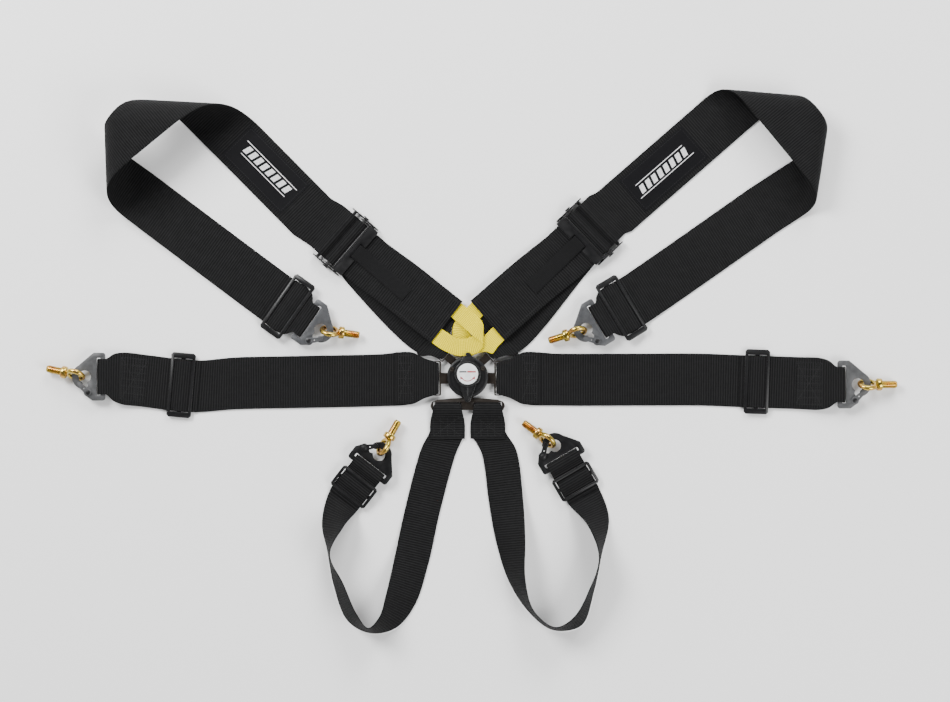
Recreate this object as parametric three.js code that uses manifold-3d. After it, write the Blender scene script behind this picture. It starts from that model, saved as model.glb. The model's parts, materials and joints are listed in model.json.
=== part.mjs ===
// Six-point racing harness laid out flat, back of the buckle on the ground.
// Millimetres, +Z up, origin at the centre of the buckle's back face.
import * as THREE from "three";
import { mergeVertices } from "three/addons/utils/BufferGeometryUtils.js";
import Module from "manifold-3d";

const wasm = await Module();
wasm.setup();

// ---- driving dimensions ----
const WEB = { wide: 76.2, narrow: 50.8, thick: 1.6 }; // 3 in and 2 in webbing
const RUN_Z = WEB.thick / 2; // middle height of webbing that lies on the ground
const TAPE = { width: 25, thick: 1.2 }; // linked yellow loops
const PULL = { width: 22, thick: 1.2 };
const BUCKLE = { radius: 30, wall: 1.4, plate: 2.5, base: 2.8, ceiling: 10.5, top: 13 };
const PIVOT = [0, 4.2]; // axis of the release lever
const PIN_RADIUS = 2.7;
const SCREWS = [[-23, 11], [22.5, 12.5]];
const TONGUE = { low: 4.8, thick: 2.5, nose: 16, tip: 14.5 };
const HOOK = {
  low: 10.2, thick: 3, half: 35, back: -8, slot: [-1, 4.5], slotHalf: 27.5,
  throat: 22, throatRadius: 9, bowlRadius: 18.8, lobeAngle: -58, rivet: [17, -23],
};
const EYE = {
  ring: 11.6, wire: 3.6, reach: 13.9, height: 14.4, lean: 25, pitch: 8,
  collar: 9, collarFrom: 13, collarTo: 21, stud: 5.55, tip: 43.5,
};
const SLIDER = {
  length: 36, bar: 4.5, rail: 4, outerLow: 3.3, outerHigh: 5.3, centreLow: 1.2, centreHigh: 2.4,
};
const ADJUSTER = { half: 45, cheek: 2, barRadius: 3, barZ: 6.6, plateLow: 9.8, plateThick: 1.6 };

// Each anchor: webbing slot centre and outward heading, side of the gate rivet, world yaw of the
// eye bolt, webbing width, and the distance from the slot back to the slider.
const ANCHORS = {
  lap_left: { at: [-537, 0.5], heading: 180, rivet: 1, yaw: 168, web: WEB.wide, back: 118 },
  lap_right: { at: [548, -11], heading: 0, rivet: -1, yaw: 0, web: WEB.wide, back: 125 },
  shoulder_left: { at: [-232.7, 81.5], heading: -35, rivet: -1, yaw: -7.8, web: WEB.wide, back: 36.5 },
  shoulder_right: { at: [192, 81], heading: 211, rivet: 1, yaw: 197, web: WEB.wide, back: 38 },
  crotch_left: { at: [-143, -131], heading: 52, rivet: 1, yaw: 60, web: WEB.narrow, back: 37 },
  crotch_right: { at: [138.3, -119.4], heading: 120, rivet: 1, yaw: 143.8, web: WEB.narrow, back: 38 },
};
// Lap sliders sit on a slightly turned stretch of webbing.
const LAP_SLIDERS = {
  lap_left: { at: [-419, -12], heading: 175 },
  lap_right: { at: [423, -7], heading: 358 },
};
// Shoulder sides: adjuster place and up-heading, start of the long loop, its two folds
// (distance along the webbing, crease angle, roll radius), and where the loop runs straight again.
const SHOULDERS = {
  left: {
    tongue: 138, mirror: 1, adjuster: [-178, 197], up: 139, flapEnd: [-30.5, 80], flapAcross: 232.5,
    lower: [-150, 165], loopStart: [-220, 227], loopHeading: 134.7,
    folds: [[182.5, 42.3, 38.7], [369.7, 127.35, 38.7]], straight: 520,
  },
  right: {
    tongue: 42, mirror: -1, adjuster: [178, 212], up: 44, flapEnd: [29, 82.5], flapAcross: 131,
    lower: [146, 176], loopStart: [206, 234], loopHeading: 41.1,
    folds: [[245.1, 134.2, 22], [405, 228.3, 22]], straight: 560,
  },
};

const COLOURS = {
  webbing: [0x17181a, 0.85, 0], patch: [0x101012, 0.55, 0], yellow: [0xd8c81e, 0.8, 0],
  blackSteel: [0x1d1e20, 0.45, 0.7], steel: [0x9a9c9e, 0.35, 0.9], zinc: [0xb9a878, 0.4, 0.85],
  housing: [0x55585b, 0.45, 0.6], lever: [0xc8cacc, 0.3, 0.9], badge: [0x202124, 0.5, 0.1],
};

const rad = THREE.MathUtils.degToRad;
const vec = (x, y, z = 0) => new THREE.Vector3(x, y, z);
const group = new THREE.Group();

// ---- shared helpers ----
function add(name, geometry, colour) {
  const [color, roughness, metalness] = COLOURS[colour];
  const material = new THREE.MeshStandardMaterial({ color, roughness, metalness });
  const mesh = new THREE.Mesh(geometry, material);
  mesh.name = name;
  group.add(mesh);
}

function toSolid(geometry) {
  const bare = geometry.index ? geometry.toNonIndexed() : geometry.clone();
  bare.deleteAttribute("normal");
  bare.deleteAttribute("uv");
  const merged = mergeVertices(bare, 1e-4);
  return new wasm.Manifold(new wasm.Mesh({
    numProp: 3,
    vertProperties: merged.attributes.position.array,
    triVerts: new Uint32Array(merged.index.array),
  }));
}

function toGeometry(solid) {
  const mesh = solid.getMesh();
  const geometry = new THREE.BufferGeometry();
  geometry.setAttribute("position", new THREE.BufferAttribute(mesh.vertProperties, 3));
  geometry.setIndex(new THREE.BufferAttribute(mesh.triVerts, 1));
  return geometry;
}

const join = (...parts) => toGeometry(parts.map(toSolid).reduce((a, b) => a.add(b)));
const cut = (body, ...tools) =>
  toGeometry(tools.map(toSolid).reduce((a, b) => a.subtract(b), toSolid(body)));

function plate(outline, low, high, holes = [], curveSegments = 5) {
  const drawn = outline instanceof THREE.Shape;
  const shape = drawn ? outline : new THREE.Shape(outline.map((p) => new THREE.Vector2(...p)));
  shape.holes = holes;
  const settings = { depth: high - low, bevelEnabled: false, curveSegments };
  return new THREE.ExtrudeGeometry(shape, settings).translate(0, 0, low);
}

function circleHole(x, y, radius) {
  const path = new THREE.Path();
  path.absarc(x, y, radius, 0, 2 * Math.PI, true);
  return path;
}

function rectangleHole(x0, x1, y0, y1) {
  return new THREE.Path([[x0, y0], [x0, y1], [x1, y1], [x1, y0]].map((p) => new THREE.Vector2(...p)));
}

function disc(x, y, radius, low, high, sides = 24) {
  const upright = new THREE.CylinderGeometry(radius, radius, high - low, sides).rotateX(Math.PI / 2);
  return upright.translate(x, y, (low + high) / 2);
}

function box(x0, x1, y0, y1, z0, z1) {
  const block = new THREE.BoxGeometry(x1 - x0, y1 - y0, z1 - z0);
  return block.translate((x0 + x1) / 2, (y0 + y1) / 2, (z0 + z1) / 2);
}

const place = (geometry, at, heading, z = 0) => geometry.rotateZ(rad(heading)).translate(at[0], at[1], z);

// A point given along a heading and to the left of it.
function local(at, heading, along, left = 0, z = 0) {
  const c = Math.cos(rad(heading));
  const s = Math.sin(rad(heading));
  return vec(at[0] + along * c - left * s, at[1] + along * s + left * c, z);
}

// ---- webbing ----
// A station is {at, across, width}: centre point, unit vector towards one edge, and width.
const station = (at, azimuth, width, rise = 0) => ({
  at,
  width,
  across: vec(1, 0).applyAxisAngle(vec(0, -1), rad(rise)).applyAxisAngle(vec(0, 0, 1), rad(azimuth)),
});

const edgePair = ({ at, across, width }) =>
  [-0.5, 0.5].map((side) => at.clone().addScaledVector(across, side * width));

// Smooth rows between stations: each edge follows its own Catmull-Rom curve.
function smoothRows(stations, steps) {
  const curves = [0, 1].map((side) =>
    new THREE.CatmullRomCurve3(stations.map((s) => edgePair(s)[side]), false, "centripetal"));
  const row = (t) => curves.map((curve) => curve.getPoint(t)).map((p) => p.setZ(Math.max(p.z, RUN_Z)));
  return Array.from({ length: steps + 1 }, (_, i) => row(i / steps));
}

// Spreads a two-point row over the wanted number of columns.
const spread = (row, columns) =>
  Array.from({ length: columns + 1 }, (_, i) => row[0].clone().lerp(row[row.length - 1], i / columns));

// Closed solid of webbing around rows of points on its middle surface.
function webbing(rows, thick) {
  const count = rows.length;
  const columns = rows[0].length;
  const points = [];
  for (const side of [0.5, -0.5])
    rows.forEach((row, i) => row.forEach((point, j) => {
      const along = rows[Math.min(i + 1, count - 1)][j].clone().sub(rows[Math.max(i - 1, 0)][j]);
      const across = row[Math.min(j + 1, columns - 1)].clone().sub(row[Math.max(j - 1, 0)]);
      const normal = along.cross(across).normalize();
      points.push(point.clone().addScaledVector(normal, side * thick));
    }));
  const top = (i, j) => i * columns + j;
  const low = (i, j) => count * columns + top(i, j);
  const faces = [];
  const quad = (a, b, c, d) => faces.push(a, b, c, a, c, d);
  for (let i = 0; i < count - 1; i++) {
    for (let j = 0; j < columns - 1; j++) {
      quad(top(i, j), top(i + 1, j), top(i + 1, j + 1), top(i, j + 1));
      quad(low(i, j), low(i, j + 1), low(i + 1, j + 1), low(i + 1, j));
    }
    const last = columns - 1;
    quad(low(i, 0), low(i + 1, 0), top(i + 1, 0), top(i, 0));
    quad(top(i, last), top(i + 1, last), low(i + 1, last), low(i, last));
  }
  for (let j = 0; j < columns - 1; j++) {
    quad(top(0, j), top(0, j + 1), low(0, j + 1), low(0, j));
    quad(top(count - 1, j), low(count - 1, j), low(count - 1, j + 1), top(count - 1, j + 1));
  }
  const geometry = new THREE.BufferGeometry().setFromPoints(points);
  geometry.setIndex(faces);
  return geometry;
}

// Half turn of webbing round a bar, in the vertical plane of its heading.
function halfTurn(centreAlong, centreZ, radius, outward, fromTop) {
  return Array.from({ length: 7 }, (_, i) => {
    const angle = rad(90 - 30 * i) * (fromTop ? 1 : -1);
    return [centreAlong + outward * radius * Math.cos(angle), centreZ + radius * Math.sin(angle)];
  });
}

// Inner end: sewn end on top, in over the tongue, round its bar and out along the ground.
// profile entries are [along, z, left, width].
function tongueEnd(origin, heading, web, shape) {
  const turn = halfTurn(shape.fold, 6, 2.6, -1, true).map(([u, z]) => [u, z, shape.left[0], shape.width[0]]);
  const over = (k, u, z) => [shape.fold + u, z, shape.left[k], shape.width[k]];
  const profile = [
    over(3, shape.sewn, 2.8), over(3, shape.down, 3.2), over(2, shape.bar, 8.5), over(1, 9, 8.6), ...turn,
    over(1, 9, 3.4), over(2, shape.bar, 3), over(3, 38, RUN_Z),
  ];
  return profile.map(([u, z, left, width]) =>
    station(local(origin, heading, u, left, z), heading + 90, Math.min(width, web)));
}

// Height of the lower layer between the ground and the hook, at a distance behind the slot.
const rampStart = (anchor) => (anchor.back > 60 ? 62 : anchor.back + 35);
const HOOK_LAYERS = { low: 8.8, high: 14.6, turn: 0.2, bend: 9.5 };
function lowerLayer(anchor, behind) {
  const start = rampStart(anchor);
  const t = THREE.MathUtils.clamp((start - behind) / (start - HOOK_LAYERS.bend), 0, 1);
  return RUN_Z + t * (HOOK_LAYERS.low - RUN_Z);
}
function sliderPlace(name) {
  const anchor = ANCHORS[name];
  const own = LAP_SLIDERS[name];
  const point = own ? vec(...own.at) : local(anchor.at, anchor.heading, -anchor.back);
  const tilt = own ? 0 : Math.atan((HOOK_LAYERS.low - RUN_Z) / (rampStart(anchor) - HOOK_LAYERS.bend));
  const { heading } = own ?? anchor;
  return { at: [point.x, point.y], heading, z: lowerLayer(anchor, anchor.back), tilt };
}

// Outer end: lower layer up to the hook, round its back bar, back over the slider's centre bar.
function hookEnd(name) {
  const anchor = ANCHORS[name];
  const slider = sliderPlace(name);
  const slotWidth = Math.min(anchor.web, 2 * HOOK.slotHalf - 3);
  const long = anchor.back > 60;
  // Lap webbing runs straight from the hook to its slider, which lies a little to one side.
  const offset = vec(...slider.at).sub(vec(...anchor.at));
  offset.applyAxisAngle(vec(0, 0, 1), -rad(anchor.heading));
  const swing = ((slider.heading - anchor.heading + 540) % 360) - 180;
  const atHook = (u, z, width) => {
    const share = long ? Math.max(0, (u + HOOK_LAYERS.bend) / (offset.x + HOOK_LAYERS.bend)) : 0;
    const across = anchor.heading + swing * Math.min(1, 2 * share) + 90;
    return station(local(anchor.at, anchor.heading, u, offset.y * share, z), across, width);
  };
  const atSlider = (u, rise) => {
    const along = u * Math.cos(slider.tilt) - rise * Math.sin(slider.tilt);
    const z = slider.z + u * Math.sin(slider.tilt) + rise * Math.cos(slider.tilt);
    return station(local(slider.at, slider.heading, along, 0, z), slider.heading + 90, anchor.web);
  };
  const middle = (HOOK_LAYERS.low + HOOK_LAYERS.high) / 2;
  const turn = halfTurn(HOOK_LAYERS.turn, middle, (HOOK_LAYERS.high - HOOK_LAYERS.low) / 2, 1, false);
  const overCentreBar = [[16, 2.1], [9, 2.3], [4.5, 3.6], [-4.5, 3.6], [-9, 2.3], [-16, 2.1], [-25, 2.1]];
  return [
    atSlider(long ? -22 : -24, 0),
    atSlider(long ? 20 : 12, 0),
    ...(long ? [atHook(-62, RUN_Z, anchor.web), atHook(-34, 4.6, anchor.web)] : []),
    atHook(-HOOK_LAYERS.bend, HOOK_LAYERS.low, slotWidth),
    ...turn.map(([u, z]) => atHook(u, z, slotWidth)),
    atHook(-HOOK_LAYERS.bend, HOOK_LAYERS.high, slotWidth),
    ...(long
      ? [atHook(-34, 7.2, anchor.web), atHook(-62, 3.1, anchor.web)]
      : [atHook(-14.2, 11.6, Math.min(anchor.web, 64))]),
    ...overCentreBar.map(([u, rise]) => atSlider(u, rise)),
  ];
}

// Rolls flat webbing coordinates (along, left, up) over a crease.
function roll(point, [start, angle, radius]) {
  const c = Math.cos(rad(angle));
  const s = Math.sin(rad(angle));
  const [mx, my] = s < 0 ? [-s, c] : [s, -c];
  const h = (point.x - start) * mx + point.y * my;
  if (h <= 0) return point;
  const turn = Math.min(h / radius, Math.PI);
  const reach = (radius - point.z) * Math.sin(turn) - Math.max(0, h - Math.PI * radius) - h;
  return vec(point.x + reach * mx, point.y + reach * my, radius - (radius - point.z) * Math.cos(turn));
}
function onLoop(side, along, left, up) {
  const folded = [...side.folds].reverse().reduce(roll, vec(along, left, up));
  return local(side.loopStart, side.loopHeading, folded.x, folded.y, folded.z + RUN_Z);
}

// ---- buckle ----
function buckle() {
  const { radius, wall, plate: thick, base, ceiling, top } = BUCKLE;
  const screwHoles = SCREWS.map(([x, y]) => circleHole(x, y, 2.1));
  const round = new THREE.Shape().absarc(0, 0, radius, 0, 2 * Math.PI);
  const holes = [circleHole(...PIVOT, PIN_RADIUS + 0.3), ...screwHoles];
  add("buckle_back_plate", plate(round, 0, thick, holes, 16), "steel");

  const shell = new THREE.LatheGeometry(
    [[8.5, ceiling], [radius - wall, ceiling], [radius - wall, base], [radius, base], [radius, top - 1.5],
      [radius - 1.5, top], [8.5, top], [8.5, ceiling]].map((p) => new THREE.Vector2(...p)), 36,
  ).rotateX(Math.PI / 2).scale(1, -1, 1);
  const flipped = toGeometry(toSolid(flipFaces(shell)));
  const slotHalf = TONGUE.nose / 2 + 0.7;
  const slots = [0, 42, 138, 180, 270].map((heading) => {
    const opening = box(10, 34, -slotHalf, slotHalf, TONGUE.low - 0.5, TONGUE.low + TONGUE.thick + 0.5);
    return place(opening, heading % 180 === 0 ? [0, -2] : [0, 0], heading);
  });
  const pinWell = disc(...PIVOT, 6, ceiling - 1, top + 1);
  const heads = SCREWS.flatMap(([x, y]) =>
    [disc(x, y, 2.1, ceiling - 1, top + 1, 12), disc(x, y, 3.9, 11.6, top + 1, 16)]);
  add("buckle_housing", cut(flipped, ...slots, pinWell, ...heads), "housing");

  SCREWS.forEach(([x, y], i) => add(`housing_screw_${i + 1}`,
    join(disc(x, y, 1.8, 0.4, 12, 12), disc(x, y, 3.5, 11.9, 12.9, 16)), "steel"));
  add("centre_pin", join(disc(...PIVOT, PIN_RADIUS, 0.2, 15.4, 16), disc(...PIVOT, 5, 2.8, 3.6, 16)), "steel");

  const cam = new THREE.Shape();
  for (let i = 0; i <= 60; i++) {
    const angle = (i / 60) * 2 * Math.PI;
    const lobe = 11 + 1.6 * Math.cos(5 * (angle - Math.PI / 2));
    cam[i ? "lineTo" : "moveTo"](PIVOT[0] + lobe * Math.cos(angle), PIVOT[1] + lobe * Math.sin(angle));
  }
  add("release_cam", plate(cam, 8.2, 10, [circleHole(...PIVOT, PIN_RADIUS + 0.3)]), "steel");

  class Coil extends THREE.Curve {
    getPoint(t) {
      const angle = t * 3 * 2 * Math.PI;
      return vec(PIVOT[0] + 6.4 * Math.cos(angle), PIVOT[1] + 6.4 * Math.sin(angle), 4.6 + 2.6 * t);
    }
  }
  const wire = new THREE.Shape().absarc(0, 0, 0.35, 0, 2 * Math.PI);
  const winding = { steps: 30, extrudePath: new Coil(), curveSegments: 3 };
  add("release_spring", new THREE.ExtrudeGeometry(wire, winding), "steel");

  const lever = new THREE.Shape();
  const [px, py] = PIVOT;
  lever.moveTo(px - 4.6, -33.6);
  lever.absarc(px, -32.2, 4.8, rad(197), rad(343), false);
  lever.lineTo(px + 12.6, py - 15);
  lever.absarc(px, py, 19.6, rad(-50), rad(54), false);
  lever.lineTo(px + 8.6, 28.5);
  lever.absarc(px + 0.9, 31.5, 4.5, rad(0), rad(180), false);
  lever.lineTo(px - 7, 28.5);
  lever.absarc(px, py, 19.6, rad(126), rad(230), false);
  lever.lineTo(px - 12.6, py - 15);
  const leverBody = plate(lever, 13.3, 16.3, [], 10);
  const hub = disc(px, py, 5.4, 10.3, 13.6, 20);
  const bore = disc(px, py, PIN_RADIUS + 0.3, 9, 15.8, 16);
  add("release_lever", cut(join(leverBody, hub), bore), "lever");
  add("badge_disc", disc(px, py + 0.2, 15.4, 16.6, 18.3, 36), "badge");
}

function flipFaces(geometry) {
  const index = geometry.index.array;
  for (let i = 0; i < index.length; i += 3) {
    [index[i + 1], index[i + 2]] = [index[i + 2], index[i + 1]];
  }
  return geometry;
}

// ---- tongues ----
// head: [from, to] along and [right, left] across the plate that holds the webbing slot.
function tongue(name, heading, shift, head, slot, nose = [-TONGUE.nose / 2, TONGUE.nose / 2]) {
  const [low, high] = nose;
  const [from, to] = head.along;
  const [right, left] = head.across;
  const corner = 1.2;
  const outline = [
    [TONGUE.tip, low + 2], [TONGUE.tip + 2, low], [from, low], [from, right + corner], [from + corner, right],
    [to - corner, right], [to, right + corner], [to, left - corner], [to - corner, left], [from + corner, left],
    [from, left - corner], [from, high], [TONGUE.tip + 2, high], [TONGUE.tip, high - 2],
  ];
  const holes = [circleHole(20.5, (low + high) / 2, 2.6), rectangleHole(...slot.along, ...slot.across)];
  add(name, place(plate(outline, TONGUE.low, TONGUE.low + TONGUE.thick, holes), [0, shift], heading), "steel");
}

const LAP_TONGUE = {
  head: { along: [38.8, 56], across: [-25.4, 25.4] },
  slot: { along: [41.4, 49.6], across: [-23.6, 23.6] },
};
const LAP_WEB = { fold: 45.4, bar: 17, down: 36, sewn: 60, left: [0, 0, 0, 0], width: [46, 48, 58, 76.2] };
// Across offsets are towards the lap strap's side; the right shoulder mirrors them.
const SHOULDER_TONGUE = {
  nose: [-8, 3.4], along: [42, 58.6], across: [-15, 9], slotAlong: [43.6, 52.2], slotAcross: [-13.6, 7.6],
};
const SHOULDER_WEB = {
  fold: 48, bar: 12.5, down: 25, sewn: 31, left: [-3, -4, -8, -14], width: [19, 24, 42, 76.2],
};
const CROTCH_WEB = { fold: 40.6, bar: 11, down: 27, sewn: 50, left: [0, 0, 0, 0], width: [38, 40, 44, 50.8] };

function crotchPlate() {
  const half = TONGUE.nose / 2;
  const right = [
    [half - 2, -TONGUE.tip], [half, -TONGUE.tip - 2], [half, -30.6], [24, -31.4], [44, -33.2],
    [53, -36.4], [54.5, -43], [52, -48.5],
  ];
  const outline = [...right, ...right.map(([x, y]) => [-x, y]).reverse()].reverse();
  const slots = [rectangleHole(9, 50, -44, -37.2), rectangleHole(-50, -9, -44.02, -37.18)];
  const holes = [circleHole(0, -20.5, 2.6), ...slots];
  add("crotch_tongue_plate", plate(outline, TONGUE.low, TONGUE.low + TONGUE.thick, holes), "steel");
}

// ---- hook, gate, eye bolt, slider ----
function hookOutline() {
  const { back, half, throat, throatRadius, bowlRadius, lobeAngle, rivet } = HOOK;
  const lobeReach = (throatRadius + bowlRadius) / 2;
  const lobeRadius = (bowlRadius - throatRadius) / 2;
  const lobe = [throat + lobeReach * Math.cos(rad(lobeAngle)), lobeReach * Math.sin(rad(lobeAngle))];
  const shape = new THREE.Shape();
  shape.moveTo(back, -half + 4);
  shape.lineTo(back + 4, -half);
  shape.lineTo(11, -half);
  shape.lineTo(19, rivet[1] - 6.2);
  shape.absarc(rivet[0], rivet[1], 6.5, rad(-60), rad(70), false);
  shape.lineTo(throat + 14 * Math.cos(rad(-112)), 14 * Math.sin(rad(-112)));
  shape.absarc(throat, 0, throatRadius, rad(-115), rad(lobeAngle - 360), true);
  shape.absarc(lobe[0], lobe[1], lobeRadius, rad(lobeAngle + 180 - 8), rad(lobeAngle + 360), false);
  shape.absarc(throat, 0, bowlRadius, rad(lobeAngle), rad(62), false);
  shape.lineTo(14, 31);
  shape.lineTo(9, half);
  shape.lineTo(back + 4, half);
  shape.lineTo(back, half - 4);
  return { shape, lobe };
}

function anchorHardware(name) {
  const anchor = ANCHORS[name];
  const { shape, lobe } = hookOutline();
  const { low, thick, slot, slotHalf, rivet, throat } = HOOK;
  const sideways = (geometry) =>
    (anchor.rivet > 0 ? flipFaces(indexed(geometry.scale(1, -1, 1))) : geometry);

  const body = plate(shape, low, low + thick, [rectangleHole(slot[0], slot[1], -slotHalf, slotHalf)]);
  const pin = disc(...rivet, 2.2, low + thick / 2, low + thick + 3.2, 12);
  add(`hook_${name}`, place(sideways(join(body, pin)), anchor.at, anchor.heading), "blackSteel");

  const gateLow = low + thick + 0.4;
  const dx = lobe[0] - rivet[0];
  const dy = lobe[1] - rivet[1];
  const gateAngle = Math.atan2(dy, dx);
  const gateLength = Math.hypot(dx, dy);
  const gateShape = new THREE.Shape();
  gateShape.absarc(0, 0, 4.6, rad(90), rad(270), false);
  gateShape.absarc(gateLength + 1, 0, 3, rad(-90), rad(90), false);
  const gate = plate(gateShape, gateLow, gateLow + 2, [circleHole(0, 0, 2.5), circleHole(gateLength / 2, 0, 1)]);
  gate.rotateZ(gateAngle).translate(rivet[0], rivet[1], 0);
  add(`gate_${name}`, place(sideways(gate), anchor.at, anchor.heading), "steel");

  // Eye bolt along +X from its ring centre, ring standing in the XZ plane.
  const ring = new THREE.TorusGeometry(EYE.ring, EYE.wire, 7, 16).rotateX(Math.PI / 2 + rad(EYE.lean));
  const along = (from, to, radius, sides) => {
    const lying = new THREE.CylinderGeometry(radius, radius, to - from, sides).rotateZ(-Math.PI / 2);
    return lying.translate((from + to) / 2, 0, 0);
  };
  const collar = along(EYE.collarFrom, EYE.collarTo, EYE.collar, 20);
  const bolt = join(ring, collar, along(EYE.collarTo - 1, EYE.tip, EYE.stud, 12));
  bolt.rotateY(rad(EYE.pitch)).translate(EYE.reach, 0, EYE.height);
  const centre = local(anchor.at, anchor.heading, throat);
  add(`eye_bolt_${name}`, place(bolt, [centre.x, centre.y], anchor.yaw), "zinc");

  const spot = sliderPlace(name);
  add(`slider_${name}`, place(slider(anchor.web).rotateY(-spot.tilt), spot.at, spot.heading, spot.z), "blackSteel");
}

const indexed = (geometry) => {
  if (geometry.index) return geometry;
  geometry.deleteAttribute("normal");
  geometry.deleteAttribute("uv");
  return mergeVertices(geometry, 1e-4);
};

// Three-bar slider, in the frame of the lower layer's middle surface.
function slider(web) {
  const { length, bar, rail, outerLow, outerHigh, centreLow, centreHigh } = SLIDER;
  const inner = web / 2 + 1.2;
  const outer = inner + rail + (web > 60 ? 4 : 0.4);
  const half = length / 2;
  const outline = [
    [-half, -outer + 3], [-half + 3, -outer], [half - 3, -outer], [half, -outer + 3],
    [half, outer - 3], [half - 3, outer], [-half + 3, outer], [-half, outer - 3],
  ];
  const window = rectangleHole(-half + bar, half - bar, -inner, inner);
  const outerPlate = plate(outline, outerLow, outerHigh, [window]);
  const centre = box(-3, 3, -outer + 1, outer - 1, centreLow, centreHigh);
  const posts = [-1, 1].map((side) => box(-3, 3, Math.min(side * inner, side * (outer - 1)),
    Math.max(side * inner, side * (outer - 1)), centreLow, outerLow + 1));
  return join(outerPlate, centre, ...posts);
}

// ---- straps ----
function lapStrap(side, sign) {
  const name = `lap_${side}`;
  const heading = sign > 0 ? 0 : 180;
  const inner = tongueEnd([0, -2], heading, WEB.wide, LAP_WEB);
  const middle = [130, 250, 340].map((x) =>
    station(vec(sign * x, sign > 0 ? -4 : -2 - x / 45, RUN_Z), heading + 90, WEB.wide));
  const rows = [...inner, ...middle, ...hookEnd(name)].map(edgePair);
  add(`strap_${name}`, webbing(rows, WEB.thick), "webbing");
  tongue(`tongue_${name}`, heading, -2, LAP_TONGUE.head, LAP_TONGUE.slot);
}

function crotchStrap(side, sign, stations) {
  const name = `crotch_${side}`;
  const inner = tongueEnd([sign * 29.5, 0], 270, WEB.narrow, CROTCH_WEB);
  const middle = stations.map(([x, y, azimuth, rise]) =>
    station(vec(x, y, RUN_Z + (WEB.narrow / 2) * Math.abs(Math.sin(rad(rise)))), azimuth, WEB.narrow, rise));
  const outer = hookEnd(name);
  const turned = smoothRows([inner[inner.length - 1], ...middle, outer[0], outer[1]], 44);
  const rows = [...inner.slice(0, -1).map(edgePair), ...turned, ...outer.slice(2).map(edgePair)];
  add(`strap_${name}`, webbing(rows, WEB.thick), "webbing");
}

// Stations [x, y, azimuth of the edge vector, its rise]: flat down the leg, on edge round the turn.
const CROTCH_LEFT = [
  [-43, -110, 348, 0], [-66, -195, 347, 0], [-82, -268, 346, -6], [-98, -325, 336, -28], [-117, -358, 318, -54],
  [-143, -369, 278, -76], [-168, -350, 225, -66], [-188, -302, 202, -70], [-202, -257, 192, -84],
  [-197, -216, 172, -50],
];
const CROTCH_RIGHT = [
  [46, -110, 7, 0], [56, -180, 7, 8], [63, -240, 7, 34], [72, -296, 14, 62], [92, -340, 35, 80], [126, -366, 80, 80],
  [160, -356, 130, 66], [180, -312, 165, 78], [193, -262, 176, 84], [191, -212, 196, 50],
];

function shoulder(sideName) {
  const side = SHOULDERS[sideName];
  const name = `shoulder_${sideName}`;
  const m = side.mirror;
  const { adjuster: centre, up } = side;
  // Offsets towards the lap strap are to the left of the left tongue's heading.
  const flipSides = (list) => list.map((v) => m * v).sort((a, b) => a - b);
  const head = { along: SHOULDER_TONGUE.along, across: flipSides(SHOULDER_TONGUE.across) };
  const slot = { along: SHOULDER_TONGUE.slotAlong, across: flipSides(SHOULDER_TONGUE.slotAcross) };
  const nose = flipSides(SHOULDER_TONGUE.nose);
  tongue(`tongue_${name}`, side.tongue, 0, head, slot, nose);

  const atAdjuster = (u, z) => station(local(centre, up, u, 0, z), up + 90, WEB.wide);
  const shape = { ...SHOULDER_WEB, left: SHOULDER_WEB.left.map((v) => m * v) };
  const inner = tongueEnd([0, 0], side.tongue, WEB.wide, shape);
  const barTurn = halfTurn(-14, 3, 2.2, 1, false).map(([u, z]) => atAdjuster(u, z));
  const lower = [...inner, station(vec(...side.lower, RUN_Z), up + 88, WEB.wide), ...barTurn,
    atAdjuster(-20, 5.2), atAdjuster(-30, 3.9), atAdjuster(-44, 2.7)];
  add(`lower_strap_${name}`, webbing(lower.map(edgePair), WEB.thick), "webbing");

  // Free tail from its cut end up over the lower strap, through the adjuster and into the long loop.
  const cutEnd = vec(...side.flapEnd, 9.3);
  const tail = [[0, 9.3], [0.16, 6.2], [0.45, 2.4]].map(([share, z]) =>
    station(cutEnd.clone().lerp(vec(...centre, z), share), side.flapAcross, WEB.wide));
  const overBars = [
    [-46, 4.8], [-32, 6], [-20, 7.3], [-9, 7.7], [-4.5, 9.7], [0, 10.9], [3.6, 9.6], [5.6, 6.6],
    [9, 4.4], [13.2, 7], [15, 8.6], [18, 9.3], [21.5, 8.5], [27, 3.4], [36, RUN_Z],
  ].map(([u, z]) => atAdjuster(u, z));
  const flat = [...tail, ...overBars].map(edgePair).map((row) => spread(row, 3));
  const loopSteps = 36;
  const half = WEB.wide / 2;
  const loop = Array.from({ length: loopSteps + 1 }, (_, i) => {
    const along = 12 + (side.straight - 12) * (i / loopSteps);
    return [-half, -half / 3, half / 3, half].map((left) => onLoop(side, along, left, 0));
  });
  const outer = hookEnd(name).map(edgePair).map((row) => spread(row, 3));
  add(`upper_strap_${name}`, webbing([...flat, ...loop, ...outer], WEB.thick), "webbing");

  const patch = Array.from({ length: 13 }, (_, i) =>
    [-30, -15, 0, 15, 30].map((left) => onLoop(side, 46 + (122 * i) / 12, left, 2.2)));
  add(`label_patch_${name}`, webbing(patch, 0.8), "patch");
  adjuster(name, centre, up);
}

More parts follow.
